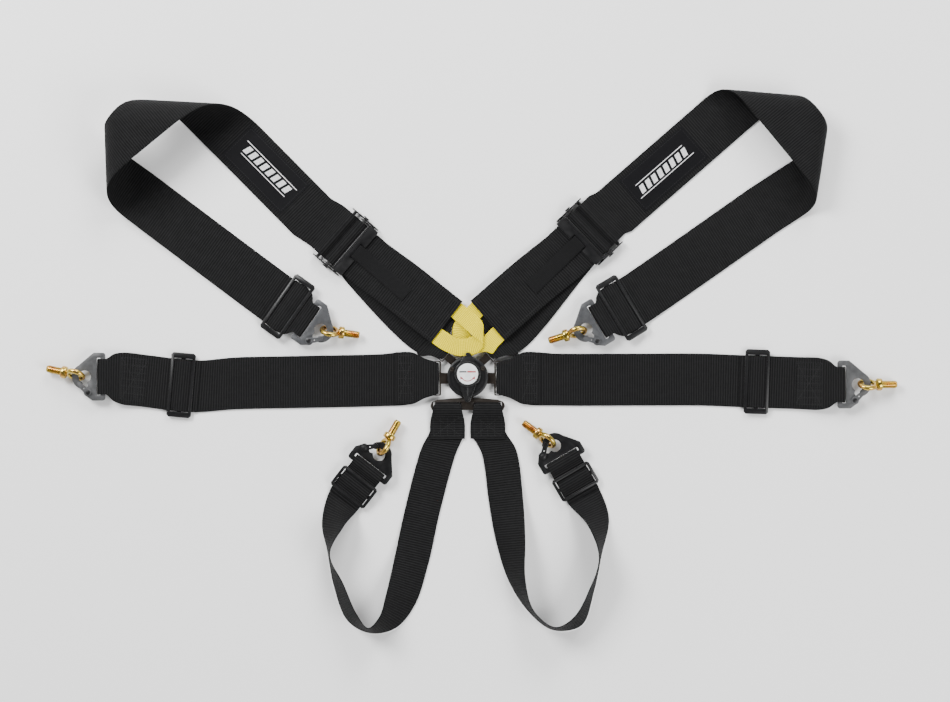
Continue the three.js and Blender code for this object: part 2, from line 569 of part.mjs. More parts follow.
// ---- shoulder adjuster: frame, knurled locking bar, lift lever with its pull strip ----
function adjuster(name, centre, up) {
  const { half, cheek, barRadius, barZ, plateLow, plateThick } = ADJUSTER;
  // Side profiles are drawn as (along, z) and stood up across the strap.
  const standing = (outline, from, to) =>
    plate(outline, from, to, [circleHole(0, barZ, barRadius + 0.4)]).rotateX(Math.PI / 2);
  const cheekOutline = [
    [-24, 0.3], [20, 0.3], [25, 4], [25, 8.5], [21, 10.5], [5, 11.6], [-5, 11.6], [-14, 8], [-24, 6],
  ];
  const cheeks = [-half, half - cheek].map((from) => standing(cheekOutline, from, from + cheek));
  const bars = [box(-18, -13, -half + 1, half - 1, 2.2, 3.8), box(15.5, 20.5, -half + 1, half - 1, 4.5, 7.5)];
  add(`adjuster_frame_${name}`, place(join(...cheeks, ...bars), centre, up), "blackSteel");

  const across = (from, to, radius, sides) =>
    new THREE.CylinderGeometry(radius, radius, to - from, sides).translate(0, (from + to) / 2, 0);
  const knobs = [across(half + 0.4, half + 2.4, 4.4, 16), across(-half - 2.4, -half - 0.4, 4.4, 16)];
  const bar = join(across(-half - 0.8, half + 0.8, barRadius, 16), ...knobs);
  add(`locking_bar_${name}`, place(bar.translate(0, 0, barZ), centre, up), "steel");

  const plateHigh = plateLow + plateThick;
  const armOutline = [
    [-27, plateLow], [-10, 5], [-5, 1.9], [0, 1.2], [5, 2.6], [5.4, 8], [0, 12], [-9, plateHigh], [-27, plateHigh],
  ];
  const arms = [-41.8, 39.8].map((from) => standing(armOutline, from, from + 2));
  const liftOutline = [
    [-27, -12.5], [-18, -12.5], [-18, 12.5], [-27, 12.5], [-27, 41], [-9, 41], [-9, -41], [-27, -41],
  ];
  const lift = plate(liftOutline, plateLow, plateHigh);
  add(`adjuster_lever_${name}`, place(join(...arms, lift), centre, up), "blackSteel");

  const strip = [[-18.6, 10.6], [-24, 10.2], [-34, 8.4], [-48, 6.9], [-70, 6.9], [-95, 7.4], [-118, 8.6]]
    .map(([u, z]) => station(local(centre, up, u, 0, z), up + 90, PULL.width));
  add(`pull_strip_${name}`, webbing(strip.map(edgePair), PULL.thick), "webbing");
}

// Stations [x, y, z, azimuth of the edge vector] of the two linked tapes.
const YELLOW = {
  left: [
    [-24, 104, 6.4, 48], [-15.7, 97, 6.8, 48], [3.5, 80.4, 11, 48], [15, 70, 16.4, 62], [22.5, 60, 16, 88],
    [15, 51, 14.4, 108], [3, 44.5, 12.5, 98], [-14, 43.5, 11.3, 88], [-29, 49.7, 11.1, 64],
    [-39, 56, 9.6, 54], [-46, 61, 7.3, 50], [-57, 70, 6.3, 50],
  ],
  right: [
    [20, 105, 6.4, 134], [12.7, 97.8, 6.4, 134], [0, 84, 5.8, 140], [-8.5, 73, 5.6, 170],
    [-9.5, 62, 5, 200], [-3, 50, 5, 222], [7, 41, 6, 215], [16.5, 35.5, 10.3, 200], [26, 42, 11.6, 140],
    [36, 54, 10.9, 132], [41.5, 59.5, 8.2, 132], [46.5, 64.5, 6.5, 132], [60, 77, 6, 132],
  ],
};

// ---- assembly ----
buckle();
lapStrap("left", -1);
lapStrap("right", 1);
crotchPlate();
crotchStrap("left", -1, CROTCH_LEFT);
crotchStrap("right", 1, CROTCH_RIGHT);
for (const side of ["left", "right"]) {
  shoulder(side);
  const stations = YELLOW[side].map(([x, y, z, azimuth]) => station(vec(x, y, z), azimuth, TAPE.width));
  add(`yellow_loop_${side}`, webbing(smoothRows(stations, 26), TAPE.thick), "yellow");
}
Object.keys(ANCHORS).forEach(anchorHardware);

export default group;
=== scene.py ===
"""Six-point racing harness laid out flat: webbing, tapes, plates, buckle and bolts round the CAD frame."""

import json
import math
import bmesh
import bpy
import numpy as np
from mathutils import Matrix, Vector, noise


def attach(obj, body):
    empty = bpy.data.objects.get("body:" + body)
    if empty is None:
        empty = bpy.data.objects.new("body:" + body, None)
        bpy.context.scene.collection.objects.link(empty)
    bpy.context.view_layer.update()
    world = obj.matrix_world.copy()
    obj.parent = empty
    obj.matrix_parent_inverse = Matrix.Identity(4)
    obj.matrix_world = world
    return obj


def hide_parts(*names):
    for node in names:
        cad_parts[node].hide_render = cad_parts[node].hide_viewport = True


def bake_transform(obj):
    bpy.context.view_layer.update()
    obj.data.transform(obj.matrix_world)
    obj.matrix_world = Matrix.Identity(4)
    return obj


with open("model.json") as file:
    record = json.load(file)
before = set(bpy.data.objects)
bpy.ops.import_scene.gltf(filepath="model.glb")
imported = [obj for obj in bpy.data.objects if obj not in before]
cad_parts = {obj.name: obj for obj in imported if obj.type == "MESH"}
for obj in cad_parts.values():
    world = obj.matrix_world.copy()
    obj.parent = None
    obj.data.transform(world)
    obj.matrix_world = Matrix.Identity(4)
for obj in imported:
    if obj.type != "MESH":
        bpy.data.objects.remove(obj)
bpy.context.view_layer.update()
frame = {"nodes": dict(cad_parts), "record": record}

# Routes and sections are in millimetres and become metres when a mesh is made.
MM = 0.001
WIDE = 76.2
NARROW = 50.8
THICK = 1.6
RUN_Z = THICK / 2
TAPE = {"width": 25, "thick": 1.2}
PULL = {"width": 22, "thick": 1.2}
PATCH = {"start": 46, "end": 168, "half": 30, "up": 1.3, "thick": 0.8}
PRINT = {"width": 1.0, "height": 0.12, "raised": 0.03}
STITCH = {"pitch": 3.4, "length": 2.6, "gap": 0.4, "sunk": 0.12}
PIVOT = (0, 4.2)
SCREWS = [(-23, 11), (22.5, 12.5)]
HOUSING = {"radius": 30, "base": 2.8, "ceiling": 10.5, "top": 13, "wall": 1.4}
TONGUE = {"low": 4.8, "high": 7.3, "nose": 8, "tip": 14.5}
HOOK = {
    "low": 10.2, "high": 13.2, "half": 35, "back": -8, "slot": (-1, 4.5), "slot_half": 27.5,
    "throat": 22, "throat_radius": 9, "bowl_radius": 18.8, "lobe_angle": -58, "rivet": (17, -23),
}
EYE = {
    "ring": 11.6, "wire": 3.6, "reach": 13.9, "height": 14.4, "lean": 25, "pitch": 8,
    "collar": 9, "collar_from": 13, "collar_to": 21, "stud": 5.55, "tip": 43.5, "thread": 1.27,
}
LAYERS = {"low": 8.8, "high": 14.6, "turn": 0.2, "bend": 9.5}
RIB_PITCH = 0.0036

ANCHORS = {
    "lap_left": {"at": (-537, 0.5), "heading": 180, "rivet": 1, "yaw": 168, "web": WIDE, "back": 118},
    "lap_right": {"at": (548, -11), "heading": 0, "rivet": -1, "yaw": 0, "web": WIDE, "back": 125},
    "shoulder_left": {
        "at": (-232.7, 81.5), "heading": -35, "rivet": -1, "yaw": -7.8, "web": WIDE, "back": 36.5,
    },
    "shoulder_right": {"at": (192, 81), "heading": 211, "rivet": 1, "yaw": 197, "web": WIDE, "back": 38},
    "crotch_left": {"at": (-143, -131), "heading": 52, "rivet": 1, "yaw": 60, "web": NARROW, "back": 37},
    "crotch_right": {
        "at": (138.3, -119.4), "heading": 120, "rivet": 1, "yaw": 143.8, "web": NARROW, "back": 38,
    },
}
LAP_SLIDERS = {"lap_left": ((-419, -12), 175), "lap_right": ((423, -7), 358)}
SHOULDERS = {
    "left": {
        "tongue": 138, "mirror": 1, "adjuster": (-178, 197), "up": 139, "flap_end": (-30.5, 80),
        "flap_across": 232.5, "lower": (-150, 165), "loop_start": (-220, 227), "loop_heading": 134.7,
        "folds": [(182.5, 42.3, 38.7), (369.7, 127.35, 38.7)], "straight": 520,
    },
    "right": {
        "tongue": 42, "mirror": -1, "adjuster": (178, 212), "up": 44, "flap_end": (29, 82.5),
        "flap_across": 131, "lower": (146, 176), "loop_start": (206, 234), "loop_heading": 41.1,
        "folds": [(245.1, 134.2, 22), (405, 228.3, 22)], "straight": 560,
    },
}
# Sewn ends at the buckle: distances from its centre, then shift and width at four places outward.
LAP_WEB = {
    "fold": 45.4, "bar": 17, "down": 36, "sewn": 60, "left": (0, 0, 0, 0), "width": (46, 48, 58, WIDE),
}
SHOULDER_WEB = {
    "fold": 48, "bar": 12.5, "down": 25, "sewn": 31, "left": (-3, -4, -8, -14), "width": (19, 24, 42, WIDE),
}
CROTCH_WEB = {
    "fold": 40.6, "bar": 11, "down": 27, "sewn": 50, "left": (0, 0, 0, 0), "width": (38, 40, 44, NARROW),
}
# Leg strap stations: x, y, azimuth of the edge vector and its rise. They stand on edge round the turn.
CROTCH = {
    "left": [
        (-43, -110, 348, 0), (-66, -195, 347, 0), (-82, -268, 346, -6), (-98, -325, 336, -28),
        (-117, -358, 318, -54), (-143, -369, 278, -76), (-168, -350, 225, -66),
        (-188, -302, 202, -70), (-202, -257, 192, -84), (-197, -216, 172, -50),
    ],
    "right": [
        (46, -110, 7, 0), (56, -180, 7, 8), (63, -240, 7, 34), (72, -296, 14, 62),
        (92, -340, 35, 80), (126, -366, 80, 80), (160, -356, 130, 66), (180, -312, 165, 78),
        (193, -262, 176, 84), (191, -212, 196, 50),
    ],
}
# Linked tapes: x, y, z and azimuth of the edge vector.
YELLOW = {
    "left": [
        (-24, 104, 6.4, 48), (-15.7, 97, 6.8, 48), (3.5, 80.4, 11, 48), (15, 70, 16.4, 62),
        (22.5, 60, 16, 88), (15, 51, 14.4, 108), (3, 44.5, 12.5, 98), (-14, 43.5, 11.3, 88),
        (-29, 49.7, 11.1, 64), (-39, 56, 9.6, 54), (-46, 61, 7.3, 50), (-57, 70, 6.3, 50),
    ],
    "right": [
        (20, 105, 6.4, 134), (12.7, 97.8, 6.4, 134), (0, 84, 5.8, 140), (-8.5, 73, 5.6, 170),
        (-9.5, 62, 5, 200), (-3, 50, 5, 222), (7, 41, 6, 215), (16.5, 35.5, 10.3, 200),
        (26, 42, 11.6, 140), (36, 54, 10.9, 132), (41.5, 59.5, 8.2, 132), (46.5, 64.5, 6.5, 132),
        (60, 77, 6, 132),
    ],
}
# Places of the columns across a piece of webbing, as shares of its width.
SPREAD = np.array([-0.5, -0.49, -0.47, *np.linspace(-0.43, 0.43, 9), 0.47, 0.49, 0.5])

BODY_OF = {node: body for body, nodes in frame["record"]["behaviour"]["bodies"].items() for node in nodes}
STILL = Matrix.Identity(4)


def rad(degrees):
    return math.radians(degrees)


# ---------------------------------------------------------------- materials
def new_material(name):
    material = bpy.data.materials.new(name)
    material.use_nodes = True
    tree = material.node_tree
    return material, tree, tree.nodes["Principled BSDF"]


def node(tree, kind, **values):
    made = tree.nodes.new(kind)
    for key, value in values.items():
        if key in made.inputs:
            made.inputs[key].default_value = value
        else:
            setattr(made, key, value)
    return made


def math_node(tree, operation, a, b=0.0):
    made = tree.nodes.new("ShaderNodeMath")
    made.operation = operation
    for socket, value in zip(made.inputs, (a, b)):
        if isinstance(value, (int, float)):
            socket.default_value = value
        else:
            tree.links.new(value, socket)
    return made.outputs[0]


def ramp(tree, factor, stops):
    made = tree.nodes.new("ShaderNodeValToRGB")
    elements = made.color_ramp.elements
    while len(elements) < len(stops):
        elements.new(0.5)
    for element, (position, color) in zip(elements, stops):
        element.position = position
        element.color = (*color, 1)
    tree.links.new(factor, made.inputs[0])
    return made.outputs[0]


def paint(tree, shader, factor, stops):
    tree.links.new(ramp(tree, factor, stops), shader.inputs["Base Color"])


def mix_value(tree, factor, low, high):
    """low where factor is 0 and high where it is 1."""
    return math_node(tree, "ADD", math_node(tree, "MULTIPLY", factor, high - low), low)


def gloss(tree, shader, factor, low, high):
    tree.links.new(mix_value(tree, factor, low, high), shader.inputs["Roughness"])


def surface_bump(tree, shader, height, strength, distance):
    bump = node(tree, "ShaderNodeBump", Strength=strength, Distance=distance)
    tree.links.new(height, bump.inputs["Height"])
    tree.links.new(bump.outputs[0], shader.inputs["Normal"])


def noise_value(tree, scale, detail, source=None):
    made = node(tree, "ShaderNodeTexNoise", Scale=scale, Detail=detail)
    if source is not None:
        tree.links.new(source, made.inputs["Vector"])
    return made.outputs["Fac"]


def woven(name, dark, light, pitch, warp_pitch, roughness, sheen, depth):
    """Webbing: ribs across the width, finer warp yarns along it, and a little unevenness. The colour follows
    the weave's height, so the valleys carry painted shade and the crests are lighter.
    """
    material, tree, shader = new_material(name)
    uv = tree.nodes.new("ShaderNodeTexCoord")
    parts = tree.nodes.new("ShaderNodeSeparateXYZ")
    tree.links.new(uv.outputs["UV"], parts.inputs[0])
    wander = noise_value(tree, 220.0, 2.0, uv.outputs["UV"])
    along = math_node(tree, "ADD", parts.outputs[1], math_node(tree, "MULTIPLY", wander, pitch * 0.25))
    rib = math_node(tree, "SINE", math_node(tree, "MULTIPLY", along, 2 * math.pi / pitch))
    yarn = math_node(tree, "MULTIPLY", parts.outputs[0], 2 * math.pi / warp_pitch)
    rib_share = math_node(tree, "MULTIPLY", mix_value(tree, rib, 0.5, 1.0), 0.7)
    warp = mix_value(tree, math_node(tree, "SINE", yarn), 0.5, 1.0)
    height = math_node(tree, "ADD", rib_share, math_node(tree, "MULTIPLY", warp, 0.3))
    blotch = noise_value(tree, 38.0, 4.0)
    uneven = math_node(tree, "MULTIPLY", blotch, 0.35)
    # Base colour: painted shade in the rib and yarn valleys, lighter crests, plus random blotches of real
    # tone.
    painted_rib_shade_and_blotch = math_node(tree, "ADD", math_node(tree, "MULTIPLY", height, 0.7), uneven)
    paint(tree, shader, painted_rib_shade_and_blotch, [(0.15, dark), (0.95, light)])
    gloss(tree, shader, blotch, roughness - 0.06, roughness + 0.1)
    surface_bump(tree, shader, height, 0.8, depth)
    shader.inputs["Sheen Weight"].default_value = sheen
    shader.inputs["Sheen Roughness"].default_value = 0.4
    shader.inputs["Specular IOR Level"].default_value = 0.06
    return material


def metal(name, base, wear_and_glint_colour, metallic, roughness, wear_and_glint, brushed=0.0, shine=0.5):
    """Coated or plated metal: fine mottling, lighter edges that are partly rubbed wear and partly a painted
    glint, and a fine surface grain.
    """
    material, tree, shader = new_material(name)
    geometry = tree.nodes.new("ShaderNodeNewGeometry")
    coords = tree.nodes.new("ShaderNodeTexCoord")
    mapping = node(tree, "ShaderNodeMapping")
    mapping.inputs["Scale"].default_value = (1.0, 1.0 - 0.9 * brushed, 1.0)
    tree.links.new(coords.outputs["Object"], mapping.inputs["Vector"])
    mottle = noise_value(tree, 160.0, 5.0, mapping.outputs[0])
    grain = noise_value(tree, 900.0, 2.0, mapping.outputs[0])
    # Convex edges turn lighter: partly rubbed wear, partly a painted highlight along the edges.
    edge = math_node(tree, "MULTIPLY", math_node(tree, "SUBTRACT", geometry.outputs["Pointiness"], 0.52), 9.0)
    broken = math_node(tree, "MULTIPLY", edge, math_node(tree, "ADD", mottle, 0.2))
    wear_and_glint_share = math_node(tree, "MINIMUM", math_node(tree, "MAXIMUM", broken, 0.0), 1.0)
    wear_and_glint_factor = math_node(tree, "MULTIPLY", wear_and_glint_share, wear_and_glint)
    lighter = tuple(min(1.2 * c, 1) for c in base)
    tone = ramp(tree, mottle, [(0.3, tuple(0.8 * c for c in base)), (0.7, lighter)])
    mix = node(tree, "ShaderNodeMix", data_type="RGBA")
    tree.links.new(wear_and_glint_factor, mix.inputs["Factor"])
    tree.links.new(tone, mix.inputs[6])
    mix.inputs[7].default_value = (*wear_and_glint_colour, 1)
    tree.links.new(mix.outputs[2], shader.inputs["Base Color"])
    shader.inputs["Metallic"].default_value = metallic
    shader.inputs["Specular IOR Level"].default_value = shine
    gloss(tree, shader, mottle, roughness - 0.08, roughness + 0.12)
    surface_bump(tree, shader, grain, 0.25, 0.0001)
    return material


def zinc_material():
    """Yellow zinc plate: brass gold drifting to olive and rose."""
    material, tree, shader = new_material("yellow_zinc")
    coords = tree.nodes.new("ShaderNodeTexCoord")
    drift = noise_value(tree, 75.0, 3.0, coords.outputs["Object"])
    fine = noise_value(tree, 600.0, 2.0, coords.outputs["Object"])
    paint(tree, shader, drift, [
        (0.3, (0.3, 0.24, 0.05)), (0.45, (0.5, 0.36, 0.07)),
        (0.58, (0.5, 0.28, 0.08)), (0.72, (0.33, 0.15, 0.05)),
    ])
    shader.inputs["Metallic"].default_value = 1.0
    gloss(tree, shader, fine, 0.14, 0.34)
    return material


def badge_material():
    """White lacquered disc with faint clouding under a clear coat."""
    material, tree, shader = new_material("badge_white")
    coords = tree.nodes.new("ShaderNodeTexCoord")
    cloud = noise_value(tree, 90.0, 4.0, coords.outputs["Object"])
    paint(tree, shader, cloud, [(0.3, (0.62, 0.63, 0.64)), (0.7, (0.78, 0.79, 0.8))])
    gloss(tree, shader, cloud, 0.22, 0.34)
    shader.inputs["Coat Weight"].default_value = 0.5
    shader.inputs["Coat Roughness"].default_value = 0.1
    return material


def ink(name, base, roughness):
    """One plain colour with a fine grain, for thread and print."""
    material, tree, shader = new_material(name)
    coords = tree.nodes.new("ShaderNodeTexCoord")
    grain = noise_value(tree, 700.0, 2.0, coords.outputs["Object"])
    lighter = tuple(min(1.25 * c, 1) for c in base)
    paint(tree, shader, grain, [(0.35, tuple(0.8 * c for c in base)), (0.7, lighter)])
    shader.inputs["Roughness"].default_value = roughness
    shader.inputs["Specular IOR Level"].default_value = 0.2
    return material


def grey(level, blue=None):
    return (level, level, level if blue is None else blue)


MATERIALS = {
    "webbing": woven(
        "black_webbing", grey(0.0015, 0.0016), grey(0.015, 0.0155), RIB_PITCH, 0.0013, 0.7, 0.015, 0.0006,
    ),
    "pull": woven(
        "pull_webbing", grey(0.002, 0.0022), grey(0.012, 0.0125), 0.0018, 0.0018, 0.66, 0.02, 0.0003,
    ),
    "label_patch": woven(
        "patch_cloth", grey(0.0035, 0.004), grey(0.007, 0.008), 0.0009, 0.0009, 0.5, 0.0, 0.0001,
    ),
    "yellow_tape": woven(
        "yellow_tape", (0.42, 0.33, 0.0), (0.9, 0.74, 0.001), 0.0026, 0.0022, 0.75, 0.0, 0.0005,
    ),
    "thread": ink("black_thread", grey(0.0075, 0.008), 0.6),
    "print": ink("pale_print", grey(0.62, 0.63), 0.6),
    "grey_steel": metal("grey_coated_steel", (0.055, 0.056, 0.058), grey(0.2), 0.3, 0.45, 0.6),
    "dark_grey_steel": metal("dark_grey_coated_steel", (0.05, 0.052, 0.056), grey(0.3), 0.35, 0.42, 0.6),
    "black_steel": metal("black_coated_steel", grey(0.004, 0.0045), grey(0.04), 0.0, 0.34, 0.6, shine=0.25),
    "tongue_steel": metal(
        "oiled_dark_steel", (0.01, 0.007, 0.005), (0.05, 0.045, 0.04), 0.1, 0.34, 0.5, shine=0.35,
    ),
    "bright_steel": metal("plated_steel", grey(0.45), grey(0.7), 1.0, 0.28, 0.5, brushed=0.6),
    "buckle_housing": metal("black_housing", grey(0.004, 0.0045), grey(0.03), 0.0, 0.4, 0.5, shine=0.22),
    "release_lever": metal("black_lever", grey(0.005, 0.0055), grey(0.06), 0.0, 0.26, 0.6, shine=0.35),
    "zinc_steel": zinc_material(),
    "badge": badge_material(),
    "mark_dark": ink("mark_dark", grey(0.03, 0.032), 0.4),
    "mark_red": ink("mark_red", (0.3, 0.012, 0.02), 0.4),
}


# ---------------------------------------------------------------- mesh helpers
def finish_mesh(name, mesh, material, body=None, nodes=(), angle=32):
    """Makes the piece's object, smooths it, and hands it to its body and nodes."""
    mesh.shade_smooth()
    mesh.set_sharp_from_angle(angle=rad(angle))
    mesh.materials.clear()
    mesh.materials.append(MATERIALS[material])
    piece = bpy.data.objects.new(name, mesh)
    bpy.context.scene.collection.objects.link(piece)
    if body:
        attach(piece, body)
    if nodes:
        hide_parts(*nodes)
    return piece


def stand_in(name, mesh, material, node_name, angle=32):
    """A piece that takes one CAD node's place, on that node's body."""
    return finish_mesh(name, mesh, material, BODY_OF[node_name], [node_name], angle=angle)


def freed(bm, name):
    """A mesh from a bmesh, which is freed."""
    mesh = bpy.data.meshes.new(name)
    bm.to_mesh(mesh)
    bm.free()
    return mesh


def facets(name, points, faces):
    """A mesh from corner points in millimetres, its faces turned outward."""
    mesh = bpy.data.meshes.new(name)
    mesh.from_pydata((np.array(points) * MM).tolist(), [], faces)
    bm = bmesh.new()
    bm.from_mesh(mesh)
    bmesh.ops.recalc_face_normals(bm, faces=bm.faces)
    bm.to_mesh(mesh)
    bm.free()
    return mesh


def merged(meshes, place=STILL):
    """One mesh from (mesh, matrix) pairs in millimetres, placed and scaled to metres."""
    bm = bmesh.new()
    for mesh, matrix in meshes:
        part = mesh.copy()
        part.transform(place @ matrix)
        if (place @ matrix).determinant() < 0:
            part.flip_normals()
        bm.from_mesh(part)
        bpy.data.meshes.remove(part)
    bmesh.ops.scale(bm, vec=(MM, MM, MM), verts=bm.verts)
    bmesh.ops.remove_doubles(bm, verts=bm.verts, dist=1e-7)
    return freed(bm, "piece")


def evaluated(obj):
    """The object's mesh with its modifiers applied; the object itself is removed."""
    bpy.context.view_layer.update()
    mesh = bpy.data.meshes.new_from_object(obj.evaluated_get(bpy.context.evaluated_depsgraph_get()))
    bpy.data.objects.remove(obj)
    return mesh


def temporary(data):
    obj = bpy.data.objects.new("temporary", data)
    bpy.context.scene.collection.objects.link(obj)
    return obj


def plate(outline, low, high, holes=(), edge=0.35):
    """A flat plate with rounded edges from an outline and hole outlines."""
    curve = bpy.data.curves.new("plate", "CURVE")
    curve.dimensions = "2D"
    curve.fill_mode = "BOTH"
    for points in (outline, *holes):
        spline = curve.splines.new("POLY")
        spline.points.add(len(points) - 1)
        for point, (x, y) in zip(spline.points, points):
            point.co = (x, y, 0, 1)
        spline.use_cyclic_u = True
    curve.extrude = (high - low) / 2 - edge
    curve.bevel_depth = edge
    curve.bevel_resolution = 1
    curve.offset = -edge
    mesh = evaluated(temporary(curve))
    bpy.data.curves.remove(curve)
    bm = bmesh.new()
    bm.from_mesh(mesh)
    bmesh.ops.remove_doubles(bm, verts=bm.verts, dist=1e-4)
    bmesh.ops.translate(bm, vec=(0, 0, (low + high) / 2), verts=bm.verts)
    bmesh.ops.recalc_face_normals(bm, faces=bm.faces)
    bm.to_mesh(mesh)
    bm.free()
    return mesh


def arc(x, y, radius, start, end, steps=None):
    """Points round an arc in degrees; end below start runs clockwise."""
    count = steps or max(4, round(abs(end - start) / 9))
    angles = [rad(start + (end - start) * i / count) for i in range(count + 1)]
    return [(x + radius * math.cos(a), y + radius * math.sin(a)) for a in angles]


def circle(x, y, radius, sides=40):
    return arc(x, y, radius, 0, 360, sides)[:-1]


def rectangle(x0, x1, y0, y1, corner=0.6):
    """A rectangle with rounded corners."""
    return [
        *arc(x1 - corner, y1 - corner, corner, 0, 90, 3),
        *arc(x0 + corner, y1 - corner, corner, 90, 180, 3),
        *arc(x0 + corner, y0 + corner, corner, 180, 270, 3),
        *arc(x1 - corner, y0 + corner, corner, 270, 360, 3),
    ]


def turned(profile, sides=72, ripple=None):
    """A solid of revolution about Z from (radius, z) points, from the axis back to the axis or closed."""
    bm = bmesh.new()
    rings = []
    for radius, z in profile:
        if radius < 1e-6:
            rings.append([bm.verts.new((0, 0, z))])
            continue
        ring = []
        for i in range(sides):
            angle = 2 * math.pi * i / sides
            reach = radius * (1 + (ripple(angle) if ripple else 0))
            ring.append(bm.verts.new((reach * math.cos(angle), reach * math.sin(angle), z)))
        rings.append(ring)
    closed = len(rings[0]) > 1
    pairs = list(zip(rings, rings[1:])) + ([(rings[-1], rings[0])] if closed else [])
    for a, b in pairs:
        for i in range(sides):
            j = (i + 1) % sides
            corners = [a[i % len(a)], a[j % len(a)], b[j % len(b)], b[i % len(b)]]
            corners = list(dict.fromkeys(corners))
            if len(corners) > 2:
                bm.faces.new(corners)
    bmesh.ops.recalc_face_normals(bm, faces=bm.faces)
    return freed(bm, "turned")


def turn(*steps):
    """A matrix from (axis, degrees) turns and (x, y, z) moves, applied in the order given."""
    matrix = STILL
    for step in steps:
        if isinstance(step[0], str):
            matrix = Matrix.Rotation(rad(step[1]), 4, step[0]) @ matrix
        else:
            matrix = Matrix.Translation(step) @ matrix
    return matrix


def refine(name, node_name, material, edge):
    """A rounded copy of a CAD node: flat faces made whole again, then every sharp edge eased."""
    bm = bmesh.new()
    bm.from_mesh(frame["nodes"][node_name].data)
    bmesh.ops.remove_doubles(bm, verts=bm.verts, dist=2e-6)
    bmesh.ops.dissolve_limit(bm, angle_limit=rad(0.6), verts=bm.verts, edges=bm.edges)
    bmesh.ops.recalc_face_normals(bm, faces=bm.faces)
    obj = temporary(freed(bm, name))
    bevel = obj.modifiers.new("ease", "BEVEL")
    bevel.width = edge * MM
    bevel.segments = 2
    bevel.limit_method = "ANGLE"
    bevel.angle_limit = rad(28)
    bevel.use_clamp_overlap = True
    stand_in(name, evaluated(obj), material, node_name)


# ---------------------------------------------------------------- webbing
def local(at, heading, along, left=0.0, z=0.0):
    c, s = math.cos(rad(heading)), math.sin(rad(heading))
    return np.array([at[0] + along * c - left * s, at[1] + along * s + left * c, z])


def row(at, azimuth, width, rise=0.0):
    """Points across the webbing from one edge to the other."""
    flat = math.cos(rad(rise))
    across = np.array([math.cos(rad(azimuth)) * flat, math.sin(rad(azimuth)) * flat, math.sin(rad(rise))])
    return np.asarray(at, float) + np.outer(SPREAD * width, across)


def smooth_rows(rows, spacing=5.0):
    """Centripetal Catmull-Rom through the rows, column by column, in fine steps."""
    rows = np.array(rows, float)
    padded = np.concatenate([[2 * rows[0] - rows[1]], rows, [2 * rows[-1] - rows[-2]]])
    gaps = np.maximum(np.linalg.norm(np.diff(padded, axis=0), axis=2, keepdims=True), 1e-3) ** 0.5
    fine = []
    marks = []
    for i in range(len(rows) - 1):
        p0, p1, p2, p3 = padded[i:i + 4]
        d0, d1, d2 = gaps[i:i + 3]
        t1 = ((p1 - p0) / d0 - (p2 - p0) / (d0 + d1) + (p2 - p1) / d1) * d1
        t2 = ((p2 - p1) / d1 - (p3 - p1) / (d1 + d2) + (p3 - p2) / d2) * d1
        length = float(np.linalg.norm(p2 - p1, axis=1).max())
        steps = max(2, math.ceil(length / spacing))
        marks.append(len(fine))
        for k in range(steps):
            t = k / steps
            fine.append(
                (2 * t**3 - 3 * t**2 + 1) * p1 + (t**3 - 2 * t**2 + t) * t1
                + (3 * t**2 - 2 * t**3) * p2 + (t**3 - t**2) * t2
            )
    marks.append(len(fine))
    fine.append(rows[-1])
    return np.array(fine), marks


def rumple(grid, amount):
    """Webbing never lies quite flat: a slow upward unevenness that follows the place on the ground."""
    for point in grid.reshape(-1, 3):
        wave = noise.noise(Vector((point[0] / 85, point[1] / 85, 3.0)))
        point[2] += amount * max(0.0, 0.5 + wave)
    return grid


class Surface:
    """The middle surface of a piece of webbing, with places given along it and across it."""

    def __init__(self, rows, spacing=5.0, thick=THICK, amount=0.0):
        grid, self.marks = smooth_rows(rows, spacing)
        self.thick = thick
        grid[:, :, 2] = np.maximum(grid[:, :, 2], thick / 2 + 0.05)
        self.grid = rumple(grid, amount) if amount else grid
        centre = self.grid[:, len(SPREAD) // 2]
        steps = np.linalg.norm(np.diff(centre, axis=0), axis=1)
        self.along = np.concatenate([[0], np.cumsum(steps)])
        self.widths = np.linalg.norm(self.grid[:, -1] - self.grid[:, 0], axis=1)
        normal = np.cross(np.gradient(self.grid, axis=0), np.gradient(self.grid, axis=1))
        self.normal = normal / np.maximum(np.linalg.norm(normal, axis=2, keepdims=True), 1e-9)
        self.length = float(self.along[-1])

    def mark(self, index):
        """Distance along the webbing of one of the rows that it was made from."""
        return float(self.along[self.marks[index]])

    def area(self):
        across = np.linalg.norm(np.diff(self.grid, axis=1), axis=2).sum(axis=1)
        return float(np.sum((across[1:] + across[:-1]) / 2 * np.diff(self.along)))

    def at(self, along, left, up):
        """A point a distance along, left of the middle and above the middle surface."""
        place = float(np.interp(along, self.along, np.arange(len(self.along))))
        i = min(int(place), len(self.along) - 2)
        t = place - i
        middle = (1 - t) * self.grid[i] + t * self.grid[i + 1]
        facing = (1 - t) * self.normal[i] + t * self.normal[i + 1]
        width = (1 - t) * self.widths[i] + t * self.widths[i + 1]
        side = min(max(left / width, -0.5), 0.5)
        point = np.array([np.interp(side, SPREAD, middle[:, k]) for k in range(3)])
        out = np.array([np.interp(side, SPREAD, facing[:, k]) for k in range(3)])
        return point + out / np.linalg.norm(out) * up


